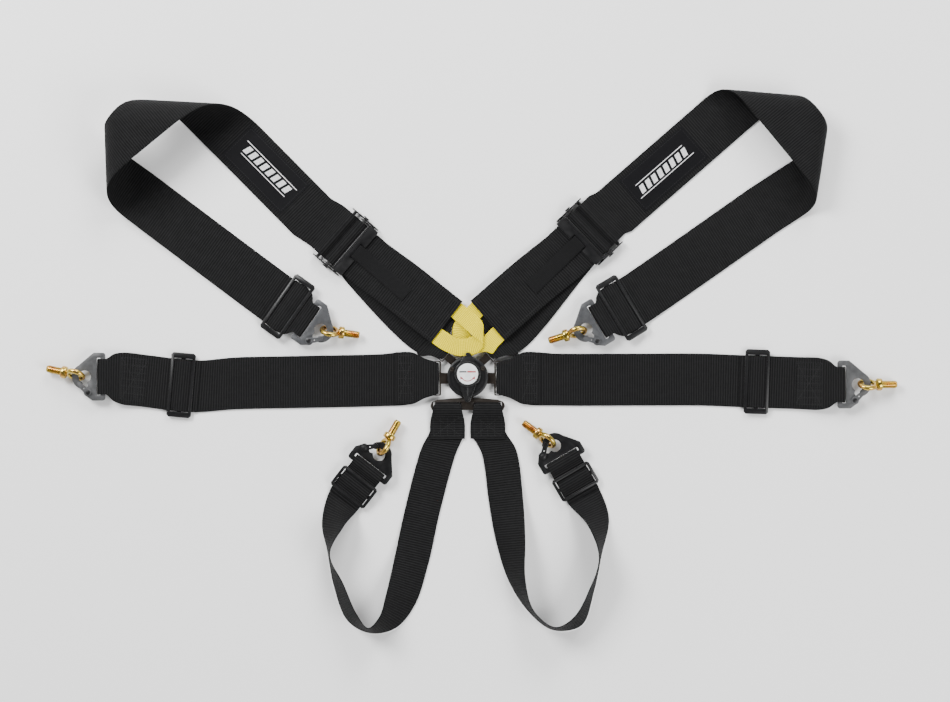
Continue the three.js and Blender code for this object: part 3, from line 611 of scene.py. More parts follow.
def cloth_mesh(surface):
    """A closed mesh of webbing with thinned edges, and UVs in metres across and along."""
    grid, normal = surface.grid, surface.normal
    count, columns = grid.shape[:2]
    half = surface.thick / 2 * (1 - 0.55 * np.abs(2 * SPREAD) ** 14)
    top = grid + normal * half[None, :, None]
    low = grid - normal * half[None, :, None]
    points = np.concatenate([top.reshape(-1, 3), low.reshape(-1, 3)]) * MM
    faces = []
    first = count * columns
    for i in range(count - 1):
        for j in range(columns - 1):
            a = i * columns + j
            faces.append((a, a + columns, a + columns + 1, a + 1))
            faces.append((first + a, first + a + 1, first + a + columns + 1, first + a + columns))
        left = i * columns
        right = left + columns - 1
        faces.append((first + left, first + left + columns, left + columns, left))
        faces.append((right, right + columns, first + right + columns, first + right))
    last = (count - 1) * columns
    for j in range(columns - 1):
        faces.append((j, j + 1, first + j + 1, first + j))
        faces.append((last + j, first + last + j, first + last + j + 1, last + j + 1))
    mesh = bpy.data.meshes.new("cloth")
    mesh.from_pydata(points.tolist(), [], faces)
    across = (SPREAD[None, :] + 0.5) * surface.widths[:, None] * MM
    forward = np.repeat(surface.along[:, None] * MM, columns, axis=1)
    uv = np.stack([across, forward], axis=2).reshape(-1, 2)
    uv = np.concatenate([uv, uv])
    loops = np.zeros(len(mesh.loops), np.int32)
    mesh.loops.foreach_get("vertex_index", loops)
    mesh.uv_layers.new(name="UVMap").data.foreach_set("uv", uv[loops].ravel())
    return mesh


def webbing_piece(name, surface, node_name, material="webbing"):
    """A strap or tape that stands for its CAD node."""
    piece = stand_in(name, cloth_mesh(surface), material, node_name, angle=50)
    full = float(surface.widths.max()) * MM
    length = surface.length * MM
    area = min(surface.area() * MM * MM, full * length)


def bar_between(a, b, out, width, height):
    """Points and faces of a low bar from a to b, narrower at its foot and ends."""
    side = np.cross(b - a, out)
    side = side / np.linalg.norm(side) * width / 2
    rise = out * height
    tip = (b - a) * 0.18
    points = [a - side * 0.3, a + side * 0.3, b + side * 0.3, b - side * 0.3]
    points += [a + tip - side + rise * 0.5, a + tip + side + rise * 0.5]
    points += [b - tip + side + rise * 0.5, b - tip - side + rise * 0.5]
    points += [a + tip + rise, b - tip + rise]
    faces = [
        (0, 1, 2, 3), (0, 4, 5, 1), (2, 6, 7, 3), (1, 5, 6, 2), (0, 3, 7, 4),
        (4, 8, 5), (6, 9, 7), (5, 8, 9, 6), (4, 7, 9, 8),
    ]
    return points, faces


def stitching(name, surface, paths, body, side=1, width=0.9, height=0.45):
    """Raised thread stitches along paths of (along, left) points on one face of the webbing."""
    points, faces = [], []
    base = side * (surface.thick / 2 - STITCH["sunk"])
    for path in paths:
        for (a0, l0), (a1, l1) in zip(path, path[1:]):
            span = math.hypot(a1 - a0, l1 - l0)
            for k in range(int(span // STITCH["pitch"])):
                t0 = (k * STITCH["pitch"] + STITCH["gap"]) / span
                t1 = t0 + STITCH["length"] / span
                ends = [surface.at(a0 + (a1 - a0) * t, l0 + (l1 - l0) * t, base) for t in (t0, t1)]
                above = surface.at(a0 + (a1 - a0) * t0, l0 + (l1 - l0) * t0, base + side)
                more, quads = bar_between(ends[0], ends[1], above - ends[0], width, height)
                faces += [tuple(len(points) + v for v in quad) for quad in quads]
                points += more
    return finish_mesh(name, facets(name, points, faces), "thread", body, angle=80)


def box_stitch(start, end, half, rows):
    """Outline with crossing rows, as sewn on load-bearing webbing."""
    paths = [[(start, -half), (end, -half), (end, half), (start, half), (start, -half)]]
    for k in range(1, rows + 1):
        left = -half + 2 * half * k / (rows + 1)
        paths.append([(start, left), (end, left)])
    paths.append([(start, -half), (end, half)])
    paths.append([(start, half), (end, -half)])
    return paths


def cross_rows(start, end, half, count):
    """Rows straight across the webbing."""
    rows = [start + (end - start) * k / (count - 1) for k in range(count)]
    return [[(along, -half), (along, half)] for along in rows]


def half_turn(centre, z, radius, outward, from_top):
    angles = [rad(90 - 15 * i) * (1 if from_top else -1) for i in range(13)]
    return [(centre + outward * radius * math.cos(a), z + radius * math.sin(a)) for a in angles]


def tongue_end(origin, heading, web, shape):
    """Sewn end on top, in over the tongue, round its bar and out along the ground."""
    fold, left, width = shape["fold"], shape["left"], shape["width"]
    turn_points = [(u, z, left[0], width[0]) for u, z in half_turn(fold, 6, 2.6, -1, True)]
    profile = [
        (fold + shape["sewn"], 2.8, left[3], width[3]), (fold + shape["down"], 3.2, left[3], width[3]),
        (fold + shape["bar"], 8.5, left[2], width[2]), (fold + 1, 9, left[1], width[1]), *turn_points,
        (fold + 1, 3.4, left[1], width[1]), (fold + shape["bar"], 3, left[2], width[2]),
        (fold + 38, RUN_Z, left[3], width[3]),
    ]
    return [row(local(origin, heading, u, l, z), heading + 90, min(w, web)) for u, z, l, w in profile]


def ramp_start(anchor):
    return 62 if anchor["back"] > 60 else anchor["back"] + 35


def slider_place(name):
    """Where a slider stands: centre, heading, height of the lower layer and tilt."""
    anchor = ANCHORS[name]
    reach = ramp_start(anchor)
    climb = min(max((reach - anchor["back"]) / (reach - LAYERS["bend"]), 0), 1)
    z = RUN_Z + climb * (LAYERS["low"] - RUN_Z)
    if name in LAP_SLIDERS:
        at, heading = LAP_SLIDERS[name]
        return at, heading, z, 0.0
    tilt = math.atan((LAYERS["low"] - RUN_Z) / (reach - LAYERS["bend"]))
    point = local(anchor["at"], anchor["heading"], -anchor["back"])
    return (point[0], point[1]), anchor["heading"], z, tilt


def hook_end(name):
    """Lower layer up to the hook, round its back bar and back over the slider's centre bar."""
    anchor = ANCHORS[name]
    at, heading, base, tilt = slider_place(name)
    web = anchor["web"]
    slot_width = min(web, 2 * HOOK["slot_half"] - 3)

    # Only lap webbing has a run between hook and slider. It goes straight, though they are not in line.
    is_lap = name in LAP_SLIDERS
    offset = np.array(at) - np.array(anchor["at"])
    c, s = math.cos(rad(anchor["heading"])), math.sin(rad(anchor["heading"]))
    reach, drift = offset[0] * c + offset[1] * s, offset[1] * c - offset[0] * s
    swing = (heading - anchor["heading"] + 180) % 360 - 180

    def at_hook(u, z, width):
        share = max(0.0, (u + LAYERS["bend"]) / (reach + LAYERS["bend"])) if is_lap else 0.0
        across = anchor["heading"] + swing * min(1.0, 2 * share) + 90
        return row(local(anchor["at"], anchor["heading"], u, drift * share, z), across, width)

    def at_slider(u, rise):
        along = u * math.cos(tilt) - rise * math.sin(tilt)
        z = base + u * math.sin(tilt) + rise * math.cos(tilt)
        return row(local(at, heading, along, 0, z), heading + 90, web)

    middle = (LAYERS["low"] + LAYERS["high"]) / 2
    radius = (LAYERS["high"] - LAYERS["low"]) / 2
    turn_rows = [at_hook(u, z, slot_width) for u, z in half_turn(LAYERS["turn"], middle, radius, 1, False)]
    shoulder_width = 0.9 * web
    lower = [
        at_slider(-22, 0), at_slider(20, 0), at_hook(-62, RUN_Z, web), at_hook(-34, 4.6, web),
        at_hook(-20, 6.9, shoulder_width),
    ]
    upper = [at_hook(-20, 11.4, shoulder_width), at_hook(-34, 7.2, web), at_hook(-62, 3.1, web)]
    if not is_lap:
        lower = [at_slider(-24, 0), at_slider(12, 0)]
        upper = [at_hook(-14.2, 11.6, min(web, 64))]
    over = [(16, 2.1), (9, 2.3), (4.5, 3.6), (-4.5, 3.6), (-9, 2.3), (-16, 2.1), (-25, 2.1)]
    return [
        *lower, at_hook(-LAYERS["bend"], LAYERS["low"], slot_width), *turn_rows,
        at_hook(-LAYERS["bend"], LAYERS["high"], slot_width), *upper, *[at_slider(u, r) for u, r in over],
    ]


def roll(point, fold):
    """Rolls flat webbing coordinates (along, left, up) over one crease."""
    start, angle, radius = fold
    x, y, z = point
    c, s = math.cos(rad(angle)), math.sin(rad(angle))
    mx, my = (-s, c) if s < 0 else (s, -c)
    h = (x - start) * mx + y * my
    if h <= 0:
        return point
    bend = min(h / radius, math.pi)
    reach = (radius - z) * math.sin(bend) - max(0, h - math.pi * radius) - h
    return x + reach * mx, y + reach * my, radius - (radius - z) * math.cos(bend)


def on_loop(side, along, left, up=0.0):
    point = (along, left, up)
    for fold in reversed(side["folds"]):
        point = roll(point, fold)
    return local(side["loop_start"], side["loop_heading"], point[0], point[1], point[2] + RUN_Z)


def sewn_hook_paths(surface):
    """Rows of stitches through the two layers just behind a lap hook."""
    start, end = surface.mark(-9) - 4, surface.mark(-8) + 6
    return cross_rows(start, end, 31, 10) + box_stitch(start, end, 31, 5)


def lap_strap(side, sign):
    name = f"lap_{side}"
    heading = 0 if sign > 0 else 180
    inner = tongue_end((0, -2), heading, WIDE, LAP_WEB)
    middle = []
    for x in (130, 250, 340):
        y = -4 if sign > 0 else -2 - x / 45
        middle.append(row((sign * x, y, RUN_Z), heading + 90, WIDE))
    surface = Surface([*inner, *middle, *hook_end(name)], amount=0.5)
    body = BODY_OF[f"strap_{name}"]
    webbing_piece(f"webbing_{name}", surface, f"strap_{name}")
    stitching(f"stitching_{name}_buckle", surface, box_stitch(4, 26, 33, 5), body, side=-1)
    stitching(f"stitching_{name}_hook", surface, sewn_hook_paths(surface), body, side=-1)


def crotch_strap(side, sign):
    name = f"crotch_{side}"
    inner = tongue_end((sign * 29.5, 0), 270, NARROW, CROTCH_WEB)
    middle = []
    for x, y, azimuth, rise in CROTCH[side]:
        z = RUN_Z + NARROW / 2 * abs(math.sin(rad(rise)))
        middle.append(row((x, y, z), azimuth, NARROW, rise))
    surface = Surface([*inner, *middle, *hook_end(name)], spacing=4.0, amount=0.3)
    body = BODY_OF[f"strap_{name}"]
    webbing_piece(f"webbing_{name}", surface, f"strap_{name}")
    stitching(f"stitching_{name}", surface, box_stitch(4, 34, 20, 3), body, side=-1)


def shoulder_straps(side_name):
    side = SHOULDERS[side_name]
    name = f"shoulder_{side_name}"
    mirror, up, centre = side["mirror"], side["up"], side["adjuster"]
    body = BODY_OF[f"upper_strap_{name}"]

    def at_adjuster(u, z):
        return row(local(centre, up, u, 0, z), up + 90, WIDE)

    shape = {**SHOULDER_WEB, "left": [mirror * v for v in SHOULDER_WEB["left"]]}
    lower = [
        *tongue_end((0, 0), side["tongue"], WIDE, shape), row((*side["lower"], RUN_Z), up + 88, WIDE),
        *[at_adjuster(u, z) for u, z in half_turn(-14, 3, 2.2, 1, False)],
        at_adjuster(-20, 5.2), at_adjuster(-30, 3.9), at_adjuster(-44, 2.7),
    ]
    webbing_piece(f"webbing_lower_{name}", Surface(lower), f"lower_strap_{name}")

    end = np.array([*side["flap_end"], 9.3])
    tail = []
    for share, z in ((0, None), (0.16, 6.2), (0.45, 2.4)):
        point = end if z is None else end + (np.array([*centre, z]) - end) * share
        tail.append(row(point, side["flap_across"], WIDE))
    over = [
        (-46, 4.8), (-32, 6), (-20, 7.3), (-9, 7.7), (-4.5, 9.7), (0, 10.9), (3.6, 9.6), (5.6, 6.6),
        (9, 4.4), (13.2, 7), (15, 8.6), (18, 9.3), (21.5, 8.5), (27, 3.4), (36, RUN_Z),
    ]
    loop = []
    steps = 90
    for i in range(steps + 1):
        along = 12 + (side["straight"] - 12) * i / steps
        loop.append(np.array([on_loop(side, along, s * WIDE) for s in SPREAD]))
    upper = Surface([*tail, *[at_adjuster(u, z) for u, z in over], *loop, *hook_end(name)], amount=0.45)
    webbing_piece(f"webbing_upper_{name}", upper, f"upper_strap_{name}")
    seam = [[(4, -33), (72, -33)], [(4, 33), (72, 33)], [(4, -33), (4, 33)], [(16, -33), (16, 33)]]
    stitching(f"stitching_{name}_tail", upper, seam, body)

    rows = []
    for i in range(31):
        along = PATCH["start"] + (PATCH["end"] - PATCH["start"]) * i / 30
        rows.append(np.array([on_loop(side, along, s * 2 * PATCH["half"], PATCH["up"]) for s in SPREAD]))
    patch = Surface(rows, thick=PATCH["thick"], amount=0.45)
    webbing_piece(f"cloth_patch_{name}", patch, f"label_patch_{name}", "label_patch")
    length = patch.length
    border = [[(3, -27), (length - 3, -27), (length - 3, 27), (3, 27), (3, -27)]]
    stitching(f"stitching_patch_{name}", patch, border, body, width=0.7, height=0.3)
    print_marks(name, patch, body)
    pull_strip(side_name, centre, up)


def print_marks(name, patch, body):
    """Generic slanted blocks between two thin rules, printed on the patch."""
    grid = []
    blocks = 8
    first, step, slant = 14, 11.5, 3.0
    for k in range(blocks):
        start = first + step * k
        for left in np.arange(-7, 4.1, 1.1):
            shift = slant * (left + 7) / 11
            grid.append([(start + shift, left), (start + shift + 7.5, left)])
    grid.append([(8, -11), (patch.length - 12, -11)])
    grid.append([(14, 8.5), (patch.length - 18, 8.5)])
    flat_marks(f"print_{name}", patch, grid, body)


def flat_marks(name, surface, paths, body):
    """Thin printed strips along straight paths on the top face."""
    points, faces = [], []
    width, height = PRINT["width"], PRINT["height"]
    base = surface.thick / 2 + PRINT["raised"]
    for (a0, l0), (a1, l1) in paths:
        pieces = max(1, round((a1 - a0) / 6))
        for k in range(pieces + 1):
            t = k / pieces
            along, left = a0 + (a1 - a0) * t, l0 + (l1 - l0) * t
            right_edge, left_edge = left - width / 2, left + width / 2
            points.append(surface.at(along, right_edge, base))
            points.append(surface.at(along, left_edge, base))
            points.append(surface.at(along, left_edge, base + height))
            points.append(surface.at(along, right_edge, base + height))
        first = len(points) - 4 * (pieces + 1)
        for k in range(pieces):
            for e in range(4):
                a, b = first + 4 * k + e, first + 4 * k + (e + 1) % 4
                faces.append((a, a + 4, b + 4, b))
        faces.append(tuple(first + e for e in range(4)))
        faces.append(tuple(first + 4 * pieces + e for e in (3, 2, 1, 0)))
    finish_mesh(name, facets(name, points, faces), "print", body, angle=30)


def pull_strip(side_name, centre, up):
    """Limp pull tab from the lever along the strap, with stitching round its end."""
    name = f"shoulder_{side_name}"
    profile = [(-18.6, 10.6), (-24, 10.2), (-34, 8.4), (-48, 6.9), (-70, 6.9), (-95, 7.4), (-118, 8.6)]
    rows = [row(local(centre, up, u, 0, z), up + 90, PULL["width"]) for u, z in profile]
    surface = Surface(rows, thick=PULL["thick"])
    nodes = [f"pull_strip_{name}"]
    piece = finish_mesh(f"pull_tab_{name}", cloth_mesh(surface), "pull", None, nodes, angle=50)
    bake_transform(piece)
    first, last, half = 28, surface.length - 3, 8.6
    border = [[(first, -half), (last, -half), (last, half), (first, half), (first, -half)]]
    thread = stitching(f"stitching_pull_{name}", surface, border, None, width=0.7, height=0.3)
    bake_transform(thread)


def yellow_tape(side_name):
    """Tape sewn to the shoulder strap, its middle held by the other tape at the buckle."""
    rows = [row((x, y, z), azimuth, TAPE["width"]) for x, y, z, azimuth in YELLOW[side_name]]
    surface = Surface(rows, spacing=2.0, thick=TAPE["thick"])
    nodes = [f"yellow_loop_{side_name}"]
    piece = finish_mesh(f"tape_{side_name}", cloth_mesh(surface), "yellow_tape", None, nodes, angle=50)
    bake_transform(piece)


# ---------------------------------------------------------------- hooks, gates, eye bolts, sliders
def hook_outline():
    """The hook plate's outline, and the centre of the round end of its open jaw."""
    throat, lobe_angle = HOOK["throat"], HOOK["lobe_angle"]
    reach = (HOOK["throat_radius"] + HOOK["bowl_radius"]) / 2
    lobe_radius = (HOOK["bowl_radius"] - HOOK["throat_radius"]) / 2
    lobe = (throat + reach * math.cos(rad(lobe_angle)), reach * math.sin(rad(lobe_angle)))
    back, half, rivet = HOOK["back"], HOOK["half"], HOOK["rivet"]
    corner = 4
    outline = [
        *arc(back + corner, -half + corner, corner, 180, 270, 5), (11, -half), (19, rivet[1] - 6.2),
        *arc(*rivet, 6.5, -60, 70), (throat + 14 * math.cos(rad(-112)), 14 * math.sin(rad(-112))),
        *arc(throat, 0, HOOK["throat_radius"], -115, lobe_angle - 360, 44),
        *arc(*lobe, lobe_radius, lobe_angle + 172, lobe_angle + 360, 20)[1:-1],
        *arc(throat, 0, HOOK["bowl_radius"], lobe_angle, 62, 24), (14, 31), (9, half),
        *arc(back + corner, half - corner, corner, 90, 180, 5),
    ]
    return outline, lobe


def hook_and_gate(name, material):
    """Hook plate, the rivet its gate turns on, and the gate."""
    anchor = ANCHORS[name]
    outline, lobe = hook_outline()
    rivet = HOOK["rivet"]
    slot = rectangle(*HOOK["slot"], -HOOK["slot_half"], HOOK["slot_half"], 1.2)
    mirror = Matrix.Scale(-1, 4, (0, 1, 0)) if anchor["rivet"] > 0 else STILL
    place = turn(("Z", anchor["heading"]), (*anchor["at"], 0)) @ mirror
    body_plate = plate(outline, HOOK["low"], HOOK["high"], [slot], edge=0.5)
    top = HOOK["high"]
    pin = turned([
        (0, top - 1), (2.2, top - 1), (2.2, top + 2.7), (3.3, top + 2.7), (3.3, top + 3), (2.6, top + 3.4),
        (0, top + 3.5),
    ], 32)
    stand_in(f"snap_{name}", merged([(body_plate, STILL)], place), material, f"hook_{name}")
    # Black steel rivet: partly its own dark finish, partly painted shade for the gate's pivot hole.
    rivet_mesh = merged([(pin, turn((*rivet, 0)))], place)
    finish_mesh(f"rivet_{name}", rivet_mesh, "black_steel", BODY_OF[f"hook_{name}"])

    length = math.hypot(lobe[0] - rivet[0], lobe[1] - rivet[1])
    angle = math.degrees(math.atan2(lobe[1] - rivet[1], lobe[0] - rivet[0]))
    shape = [*arc(0, 0, 4.6, 90, 270), *arc(length + 1, 0, 3, -90, 90)]
    gate = plate(shape, top + 0.4, top + 2.4, [circle(0, 0, 2.5, 28), circle(length / 2, 0, 1, 20)], edge=0.3)
    mesh = merged([(gate, turn(("Z", angle), (*rivet, 0)))], place)
    stand_in(f"latch_{name}", mesh, material, f"gate_{name}")


def eye_bolt(name):
    """Ring leaning through the hook, shoulder collar and grooved stud."""
    anchor = ANCHORS[name]
    ring = turned([(EYE["ring"] + EYE["wire"] * x, EYE["wire"] * z) for x, z in circle(0, 0, 1, 24)], 72)
    start, end, collar = EYE["collar_from"], EYE["collar_to"], EYE["collar"]
    washer = turned([
        (0, start), (collar - 1.6, start), (collar - 0.5, start + 0.7), (collar, start + 1.8),
        (collar, end - 1.8), (collar - 0.5, end - 0.6), (collar - 1.2, end), (0, end),
    ], 64)
    stud = [(0, end - 1), (EYE["stud"] - 0.5, end - 1), (EYE["stud"] - 0.5, end + 1.2)]
    z = end + 1.6
    while z < EYE["tip"] - 2.2:
        stud += [(EYE["stud"], z), (EYE["stud"], z + 0.2)]
        stud += [(EYE["stud"] - 0.62, z + 0.7), (EYE["stud"] - 0.62, z + 0.85)]
        z += EYE["thread"]
    stud += [(EYE["stud"] - 0.3, z), (EYE["stud"] - 1.3, EYE["tip"]), (0, EYE["tip"])]
    centre = local(anchor["at"], anchor["heading"], HOOK["throat"])
    reach = (EYE["reach"], 0, EYE["height"])
    place = turn(("Y", EYE["pitch"]), reach, ("Z", anchor["yaw"]), (centre[0], centre[1], 0))
    lying = turn(("Y", 90))
    mesh = merged([(ring, turn(("X", 90 + EYE["lean"]))), (washer, lying), (turned(stud, 40), lying)], place)
    stand_in(f"anchor_bolt_{name}", mesh, "zinc_steel", f"eye_bolt_{name}")


def locking_bar(side_name):
    """Knurled cross bar with ribbed end knobs."""
    side = SHOULDERS[side_name]
    name = f"shoulder_{side_name}"
    half = 45
    length = half + 0.6
    section = [(0, -length), (3, -length), (3, length), (0, length)]
    bar = turned(section, 40, lambda a: 0.02 * math.cos(14 * a))
    knobs = []
    for sign in (-1, 1):
        inner, outer = half + 0.4, half + 2.4
        profile = [(0, inner), (3.9, inner), (4.4, inner + 0.4), (4.4, outer - 0.5), (3.8, outer), (0, outer)]
        knob = turned(profile, 60, lambda a: 0.035 * math.cos(15 * a))
        knobs.append((knob, turn(("X", sign * 90))))
    place = turn((0, 0, 6.6), ("Z", side["up"]), (*side["adjuster"], 0))
    mesh = merged([(bar, turn(("X", 90))), *knobs], place)
    stand_in(f"cross_bar_{name}", mesh, "black_steel", f"locking_bar_{name}")


def adjuster(side_name):
    """Frame of two cheeks and two bars, and the lift lever with its notched plate."""
    side = SHOULDERS[side_name]
    name = f"shoulder_{side_name}"
    place = turn(("Z", side["up"]), (*side["adjuster"], 0))
    upright = turn(("X", 90))
    cheek = [
        (-24, 0.9), (-23.4, 0.3), (20, 0.3), (25, 4), (25, 8.5), (21, 10.5), (5, 11.6), (-5, 11.6),
        (-14, 8), (-24, 6),
    ]
    bore = circle(0, 6.6, 3.4, 28)
    frame_parts = [(plate(cheek, y, y + 2, [bore], edge=0.5), upright) for y in (-45, 43)]
    frame_parts.append((plate(rectangle(-18, -13, -44.4, 44.4, 0.8), 2.2, 3.8, edge=0.5), STILL))
    frame_parts.append((plate(rectangle(15.5, 20.5, -44.4, 44.4, 1.2), 4.5, 7.5, edge=0.9), STILL))
    mesh = merged(frame_parts, place)
    stand_in(f"adjuster_body_{side_name}", mesh, "black_steel", f"adjuster_frame_{name}")
    arm = [
        (-27, 9.8), (-10, 5), (-5, 1.9), (0, 1.2), (5, 2.6), (5.4, 8), (3.4, 10.8), (0, 12), (-9, 11.4),
        (-27, 11.4),
    ]
    lift = [
        (-27, -12.5), (-18, -12.5), (-18, 12.5), (-27, 12.5), (-27, 40), (-26, 41), (-10, 41), (-9, 40),
        (-9, -40), (-10, -41), (-26, -41), (-27, -40),
    ]
    lever_parts = [(plate(arm, y, y + 2, [bore], edge=0.4), upright) for y in (-41.8, 39.8)]
    lever_parts.append((plate(lift, 9.8, 11.4, edge=0.5), STILL))
    lever_parts.append((plate(rectangle(-12.4, -9.4, -40, 40, 1.2), 10.9, 12.3, edge=0.6), STILL))
    mesh = merged(lever_parts, place)
    stand_in(f"lift_lever_{side_name}", mesh, "black_steel", f"adjuster_lever_{name}")


# ---------------------------------------------------------------- buckle
def cut(mesh, cutters):
    """The mesh with the cutters' volumes taken out."""
    body = temporary(mesh)
    tools = []
    for cutter in cutters:
        tool = temporary(cutter)
        tools.append(tool)
        modifier = body.modifiers.new("cut", "BOOLEAN")
        modifier.operation = "DIFFERENCE"
        modifier.solver = "EXACT"
        modifier.object = tool
    result = evaluated(body)
    for tool in tools:
        bpy.data.objects.remove(tool)
    return result


def placed(mesh, matrix):
    mesh.transform(matrix)
    return mesh


def buckle():
    """Housing with its tongue mouths and wells, back plate, two screws and the release lever."""
    radius, base, ceiling, top, wall = (HOUSING[k] for k in ("radius", "base", "ceiling", "top", "wall"))
    profile = [
        (0, ceiling), (radius - wall, ceiling), (radius - wall, base), (radius - 0.3, base),
        (radius, base + 0.4),
        (radius, top - 2.2), (radius - 0.6, top - 0.8), (radius - 2, top), (25.6, top), (25.1, top - 0.5),
        (24.4, top - 0.5), (23.9, top), (0, top),
    ]
    shell = turned(profile, 128)
    low, high, nose = TONGUE["low"] - 0.5, TONGUE["high"] + 0.5, TONGUE["nose"] + 0.7
    cutters = []
    for heading in (0, 42, 138, 180, 270):
        shift = (0, -2, 0) if heading % 180 == 0 else (0, 0, 0)
        mouth = plate(rectangle(10, 34, -nose, nose), low, high, edge=0.2)
        cutters.append(placed(mouth, turn(("Z", heading), shift)))
    well = [(0, ceiling - 1), (6, ceiling - 1), (6, top + 1), (0, top + 1)]
    cutters.append(placed(turned(well, 48), turn((*PIVOT, 0))))
    for x, y in SCREWS:
        sink = [(0, ceiling - 1), (2.1, ceiling - 1), (2.1, 11.6), (3.9, 11.6), (3.9, top + 1), (0, top + 1)]
        cutters.append(placed(turned(sink, 32), turn((x, y, 0))))
    mesh = merged([(cut(shell, cutters), STILL)])
    stand_in("buckle_shell", mesh, "buckle_housing", "buckle_housing")

    holes = [circle(*PIVOT, 3), *[circle(x, y, 2.1, 24) for x, y in SCREWS]]
    mesh = merged([(plate(circle(0, 0, radius, 128), 0, 2.5, holes), STILL)])
    stand_in("buckle_base", mesh, "tongue_steel", "buckle_back_plate")

    for i, (x, y) in enumerate(SCREWS, 1):
        screw = turned([
            (0, 0.4), (1.8, 0.4), (1.8, 11.9), (3.1, 11.9), (3.5, 12.2), (3.5, 12.6), (3.1, 12.9),
            (1.7, 12.9), (1.5, 12.2), (0, 12),
        ], 36)
        mesh = merged([(screw, turn((x, y, 0)))])
        stand_in(f"screw_{i}", mesh, "tongue_steel", f"housing_screw_{i}")

    lever()


def lever():
    """Release lever with its hub, ridge and grip bars, and the badge with generic marks."""
    px, py = PIVOT
    wing = 19.6
    outline = [
        (px - 4.6, -33.6), *arc(px, -32.2, 4.8, 197, 343), (px + 12.6, py - 15), *arc(px, py, wing, -50, 54),
        (px + 8.6, 28.5), *arc(px + 0.9, 31.5, 4.5, 0, 180), (px - 7, 28.5), *arc(px, py, wing, 126, 230),
        (px - 12.6, py - 15),
    ]
    blade = plate(outline, 13.3, 16.3, edge=0.7)
    hub = turned([(3, 10.3), (5.4, 10.3), (5.4, 13.9), (3, 13.9)], 48)
    ridge = turned([(16.2, 16.2), (16.2, 17.2), (16.8, 17.7), (18, 17.7), (18.7, 17.1), (18.7, 16.2)], 128)
    grip = plate(rectangle(-2.6, 2.6, -33.5, -28.5, 1.6), 16.2, 17.3, edge=0.5)
    rib = plate(rectangle(-1.0, 1.0, -28, -15.5, 0.8), 16.2, 17.1, edge=0.4)
    place = turn((px, py, 0))
    pieces = [(blade, STILL), (hub, place), (ridge, place), (grip, STILL), (rib, STILL)]
    stand_in("release_blade", merged(pieces), "release_lever", "release_lever")

    dome = [(0, 16.6), (15, 16.6), (15.4, 16.9), (15.4, 17.8), (15, 18.2), (13, 18.34), (8, 18.4), (0, 18.42)]
    disc = merged([(turned(dome, 96), turn((px, py + 0.2, 0)))])
    stand_in("badge", disc, "badge", "badge_disc")
    marks = {
        "badge_bar_dark": ("mark_dark", [rectangle(-12, -1.5, 2.4, 4.4, 0.4)]),
        "badge_bar_red": ("mark_red", [rectangle(-0.5, 12, 2.4, 4.4, 0.4)]),
        "badge_arc": ("mark_red", [arc(0, 0, 10.6, 215, 325, 30) + arc(0, 0, 9.6, 325, 215, 30)]),
        "badge_arrows": ("mark_red", [
            [(-10.6, -3.2), (-6.6, -6.1), (-10.4, -7.4)], [(10.6, -3.2), (6.6, -6.1), (10.4, -7.4)],
        ]),
    }
    for name, (material, outlines) in marks.items():
        parts = [(plate(points, 18.3, 18.55, edge=0.03), place) for points in outlines]
        finish_mesh(name, merged(parts), material, "release")


def tongue(name, heading, shift, along, across, slot, nose):
    """A tongue plate: its nose in the buckle, a catch hole and the slot its webbing goes through."""
    low, high = nose
    tip, (start, end), (right, left) = TONGUE["tip"], along, across
    corner = 2.0
    inner, outer, lower, upper = start + corner, end - corner, right + corner, left - corner
    outline = [
        (tip, low + 2), (tip + 2, low), (start, low), (start, lower),
        *arc(inner, lower, corner, 180, 270, 4)[1:],
        *arc(outer, lower, corner, 270, 360, 5), *arc(outer, upper, corner, 0, 90, 5),
        *arc(inner, upper, corner, 90, 180, 4), (start, high), (tip + 2, high), (tip, high - 2),
    ]
    holes = [circle(20.5, (low + high) / 2, 2.6, 32), rectangle(*slot, 0.9)]
    blade = plate(outline, TONGUE["low"], TONGUE["high"], holes, edge=0.4)
    mesh = merged([(blade, turn(("Z", heading), (0, shift, 0)))])
    stand_in(f"blade_{name}", mesh, "tongue_steel", f"tongue_{name}")


def tongues():
    for name, heading in (("lap_left", 180), ("lap_right", 0)):
        tongue(name, heading, -2, (38.8, 56), (-25.4, 25.4), (41.4, 49.6, -23.6, 23.6), (-8, 8))
    for side_name, side in SHOULDERS.items():
        mirror = side["mirror"]
        across = sorted((mirror * -15, mirror * 9))
        slot = sorted((mirror * -13.6, mirror * 7.6))
        nose = sorted((mirror * -8, mirror * 3.4))
        tongue(f"shoulder_{side_name}", side["tongue"], 0, (42, 58.6), across, (43.6, 52.2, *slot), nose)
    half = TONGUE["nose"]
    right = [
        (half - 2, -14.5), (half, -16.5), (half, -30.6), (24, -31.4), (44, -33.2), (51, -35.8),
        (53.6, -38.6), (54.5, -43), (52, -48.5),
    ]
    outline = right + [(-x, y) for x, y in reversed(right)]
    slots = [rectangle(9, 50, -44, -37.2, 0.9), rectangle(-50, -9, -44, -37.2, 0.9)]
    holes = [circle(0, -20.5, 2.6, 32), *slots]
    mesh = merged([(plate(outline, TONGUE["low"], TONGUE["high"], holes, edge=0.4), STILL)])
    stand_in("blade_crotch", mesh, "tongue_steel", "crotch_tongue_plate")


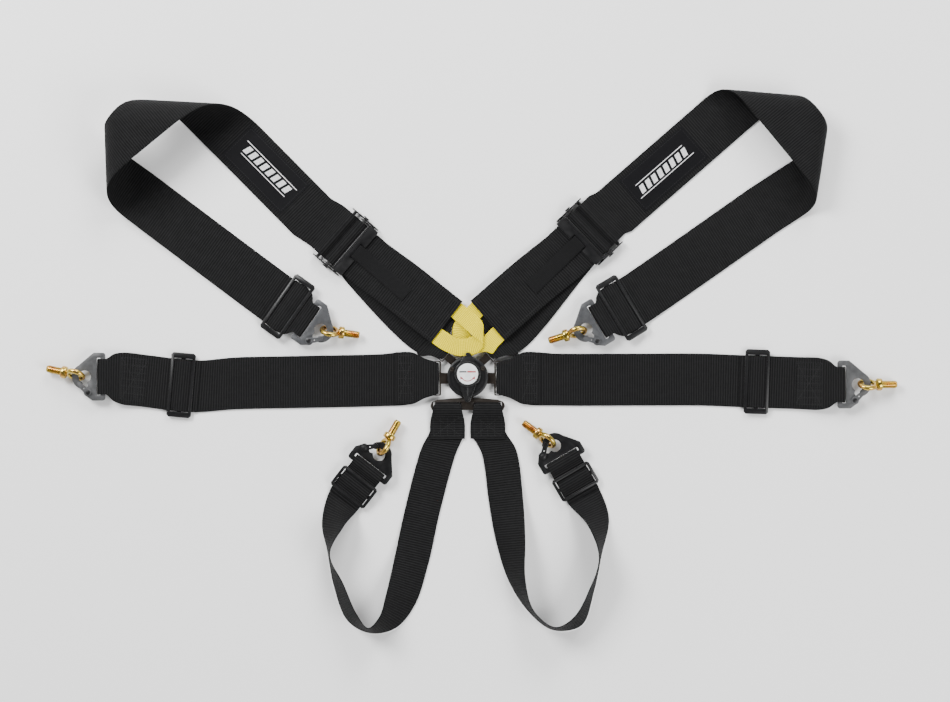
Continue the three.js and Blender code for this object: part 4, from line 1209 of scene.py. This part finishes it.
# ---------------------------------------------------------------- studio
def studio():
    """Pale floor, bright surroundings, three lamps and the camera looking straight down."""
    floor_material, tree, shader = new_material("pale_floor")
    coords = tree.nodes.new("ShaderNodeTexCoord")
    cloud = noise_value(tree, 3.0, 2.0, coords.outputs["Object"])
    paint(tree, shader, cloud, [(0.3, grey(0.88)), (0.7, grey(0.9))])
    shader.inputs["Roughness"].default_value = 0.8
    bpy.ops.mesh.primitive_plane_add(size=24, location=(0, 0, -0.0005))
    floor = bpy.context.object
    floor.name = "floor"
    floor.data.materials.append(floor_material)

    world = bpy.data.worlds.new("studio")
    bpy.context.scene.world = world
    world.use_nodes = True
    tree = world.node_tree
    background = tree.nodes["Background"]
    direction = tree.nodes.new("ShaderNodeTexCoord")
    parts = tree.nodes.new("ShaderNodeSeparateXYZ")
    tree.links.new(direction.outputs["Generated"], parts.inputs[0])
    sky = ramp(tree, parts.outputs[2], [(0.3, grey(1.0)), (0.85, grey(0.16))])
    tree.links.new(sky, background.inputs["Color"])
    background.inputs["Strength"].default_value = 1.0
    for name, place, size, energy in (
        ("key", (-2.0, 1.9, 2.4), 1.5, 200), ("fill", (2.4, -1.4, 2.6), 2.0, 130),
        ("rim", (0.8, 2.9, 1.9), 1.4, 110),
    ):
        light = bpy.data.lights.new(name, "AREA")
        light.size = size
        light.energy = energy
        lamp = bpy.data.objects.new(name, light)
        lamp.location = place
        lamp.rotation_euler = (-Vector(place)).to_track_quat("-Z", "Y").to_euler()
        bpy.context.scene.collection.objects.link(lamp)

    camera = bpy.data.cameras.new("camera")
    camera.lens = 103.5
    camera.sensor_width = 36
    camera.clip_end = 50
    viewer = bpy.data.objects.new("camera", camera)
    viewer.location = (0.0108, 0.0379, 4.0)
    bpy.context.scene.collection.objects.link(viewer)
    bpy.context.scene.camera = viewer


# ---------------------------------------------------------------- assembly
studio()
for label, direction in (("left", -1), ("right", 1)):
    lap_strap(label, direction)
    crotch_strap(label, direction)
    shoulder_straps(label)
    yellow_tape(label)
    locking_bar(label)
    adjuster(label)
HOOK_FINISH = {"lap": "grey_steel", "shoulder": "dark_grey_steel", "crotch": "black_steel"}
for anchor_name in ANCHORS:
    hook_and_gate(anchor_name, HOOK_FINISH[anchor_name.split("_")[0]])
    eye_bolt(anchor_name)
    refine(f"slide_{anchor_name}", f"slider_{anchor_name}", "black_steel", edge=0.5)
buckle()
tongues()
for hidden in ("centre_pin", "release_spring", "release_cam"):
    frame["nodes"][hidden].data.materials.clear()
    frame["nodes"][hidden].data.materials.append(MATERIALS["bright_steel"])
